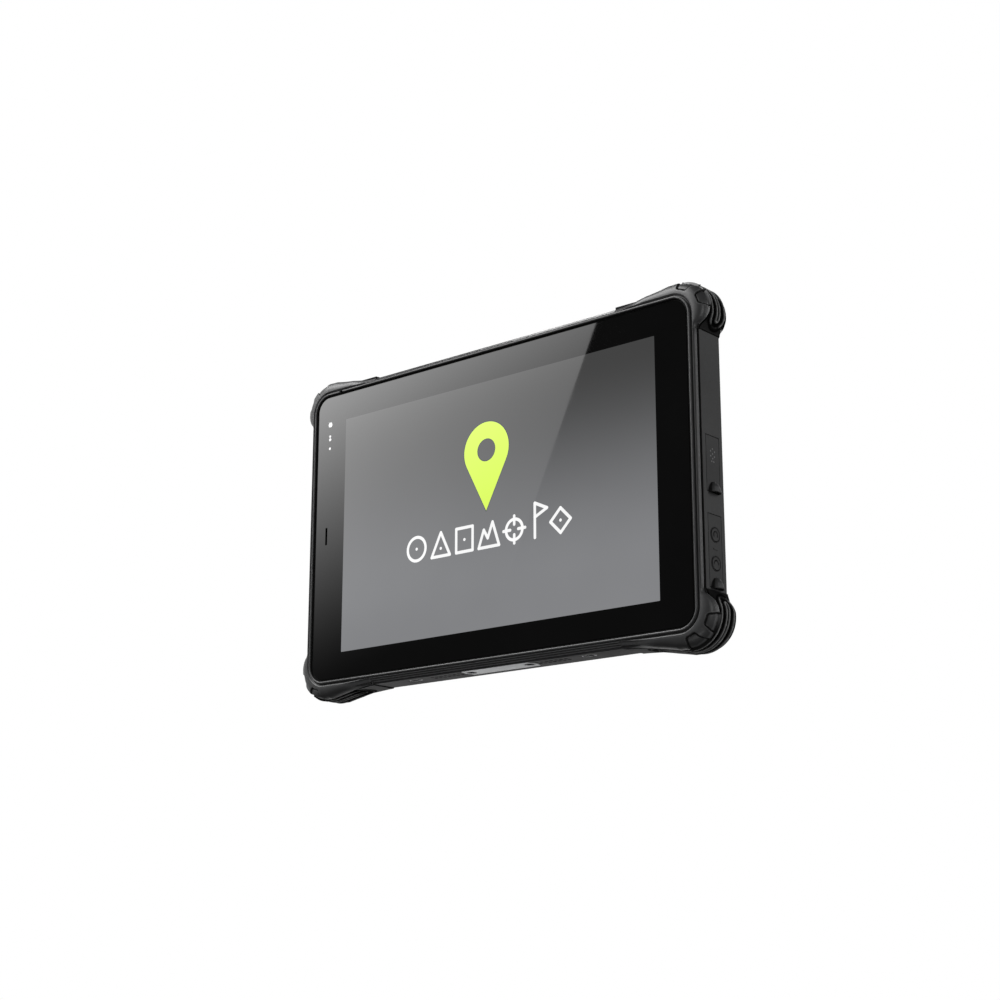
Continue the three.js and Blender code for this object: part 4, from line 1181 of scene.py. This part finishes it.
def studio():
    """The sky, the soft panels, and the photograph's camera."""
    scene = bpy.context.scene
    scene.view_settings.view_transform = "Standard"
    sky()
    for name, place, width, height, power in (
            ("key", (-0.9, -0.9, 1.35), 1.2, 1.0, 37.0),
            ("left", (-1.5, -0.1, 0.25), 1.0, 1.2, 5.0),
            ("back", (-0.7, 1.5, 1.0), 1.2, 1.0, 22.0),
            ("front_right", (1.65, -0.6, 0.35), 0.4, 1.0, 7.0),
            ("right_rim", (1.3, 0.95, 0.35), 0.3, 1.2, 6.0),
            ("low_back", (-0.9, 1.15, -0.55), 1.2, 0.5, 1.8),
            ("low_front", (0.2, -1.1, -0.95), 1.0, 0.5, 3.2)):
        panel(f"{name}_panel", place, width, height, power)
    camera = placed("camera", bpy.data.cameras.new("camera"))
    scene.camera = camera
    camera.data.sensor_width = 36
    camera.data.lens = 66.19
    camera.data.clip_start, camera.data.clip_end = 0.01, 20
    camera.location = (0.48602, -0.57708, -0.12403)
    camera.rotation_euler = (math.radians(90 + 14.8773), 0, math.radians(40.16465))


def backdrop(name, corners, material):
    """A flat sheet that neither lights nor shades the object."""
    mesh = bpy.data.meshes.new(name)
    mesh.from_pydata([tuple(corner) for corner in corners], [], [(0, 1, 2, 3)])
    mesh.materials.append(material)
    sheet = placed(name, mesh)
    sheet.visible_diffuse = sheet.visible_shadow = sheet.visible_transmission = False
    return sheet


def floor():
    """A pale floor that fades out with distance, and that is clear from below."""
    p = Paint("pale_floor")
    p.give("Base Color", grey(0.8))
    p.give("Roughness", 0.9)
    reach = p.node("ShaderNodeVectorMath", operation="LENGTH")
    p.link(p.coords, reach.inputs[0])
    fade = p.spread(reach.outputs["Value"], 0.0, 1.0, 0.3, 1.1, interpolation_type="SMOOTHSTEP")
    under = p.node("ShaderNodeNewGeometry").outputs["Backfacing"]
    mix = p.node("ShaderNodeMixShader")
    p.link(p.maths("MAXIMUM", fade, under), mix.inputs[0])
    p.link(p.shader.outputs[0], mix.inputs[1])
    p.link(p.node("ShaderNodeBsdfTransparent").outputs[0], mix.inputs[2])
    p.surface(mix)
    ground = backdrop("floor", [(-4, -4, 0), (4, -4, 0), (4, 4, 0), (-4, 4, 0)], p.material)
    ground.location.z = CAD_LOW.z - 0.0004
    ground.visible_glossy = False


def reflected_card():
    """The studio card that the glass mirrors as a sloping glare, seen only by reflection."""
    camera = Vector(bpy.context.scene.camera.location)
    glass = GLASS_LOW.y * MM
    image = Vector((camera.x, 2 * glass - camera.y, camera.z))
    depth = -0.6

    def thrown(x, z):
        """Where the card shows at a point of the glass, given in millimetres."""
        on_glass = Vector((x * MM, glass, z * MM))
        return image + (on_glass - image) * ((depth - image.y) / (on_glass.y - image.y))

    p = Paint("glare_card_light")
    split = p.node("ShaderNodeSeparateXYZ")
    p.link(p.coords, split.inputs[0])
    rise = p.spread(split.outputs["Z"], 0.0, 1.0, thrown(0, 0.54).z, thrown(0, 140).z, clamp=False)
    across = p.spread(split.outputs["X"], 0.0, 0.33, thrown(-100, 0).x, thrown(60, 0).x,
                      clamp=False)
    rise = p.maths("MAXIMUM", p.maths("SUBTRACT", rise, across), 0.0)
    power = p.maths("MULTIPLY", p.maths("POWER", rise, 1.87), 5.7)
    glow = p.node("ShaderNodeEmission")
    p.link(p.maths("ADD", power, 0.05), glow.inputs["Strength"])
    p.surface(glow)
    corners = [thrown(-180, 0), thrown(-6, 2), thrown(60, 143), thrown(-180, 190)]
    card = backdrop("glare_card", corners, p.material)
    card.visible_camera = False


# ---- assembly

INNER = {
    "seal": ("display_gasket", "housing_seal", "battery_seal"),
    "alloy": ("mid_chassis",),
    "board": ("main_board", "button_board"),
    "steel": ("processor_shield", "radio_shield", "vibration_motor"),
    "ceramic": ("gnss_antenna",),
    "tape": ("battery_pack",),
    "plastic": ("docking_connector", "speaker_left", "speaker_right", "front_camera",
                "light_sensor", "earpiece", "rear_camera"),
    "strap": ("usb_cover_tether", "io_cover_tether"),
}


def carried_over():
    """Gives the inner CAD nodes, which keep their shapes, their materials."""
    for look, nodes in INNER.items():
        for node in nodes:
            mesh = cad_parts[node].data
            mesh.materials.clear()
            mesh.materials.append(MATERIALS[look])


studio()
floor()
reflected_card()
carried_over()
front_shell()
for corner, signs in (("top_left", (-1, 1)), ("top_right", (1, 1)),
                      ("bottom_left", (-1, -1)), ("bottom_right", (1, -1))):
    bumper(corner, *signs)
cover_glass()
screen_picture()
front_sensors()
housing()
fittings()
for end in ("left", "right"):
    speaker_mesh_and_hole_shade(end)
rear_optics()
for port in ("usb", "io"):
    cover(f"{port}_cover_leaf_piece", f"{port}_cover", f"{port}_cover_leaf")
cover_marks()
keys()
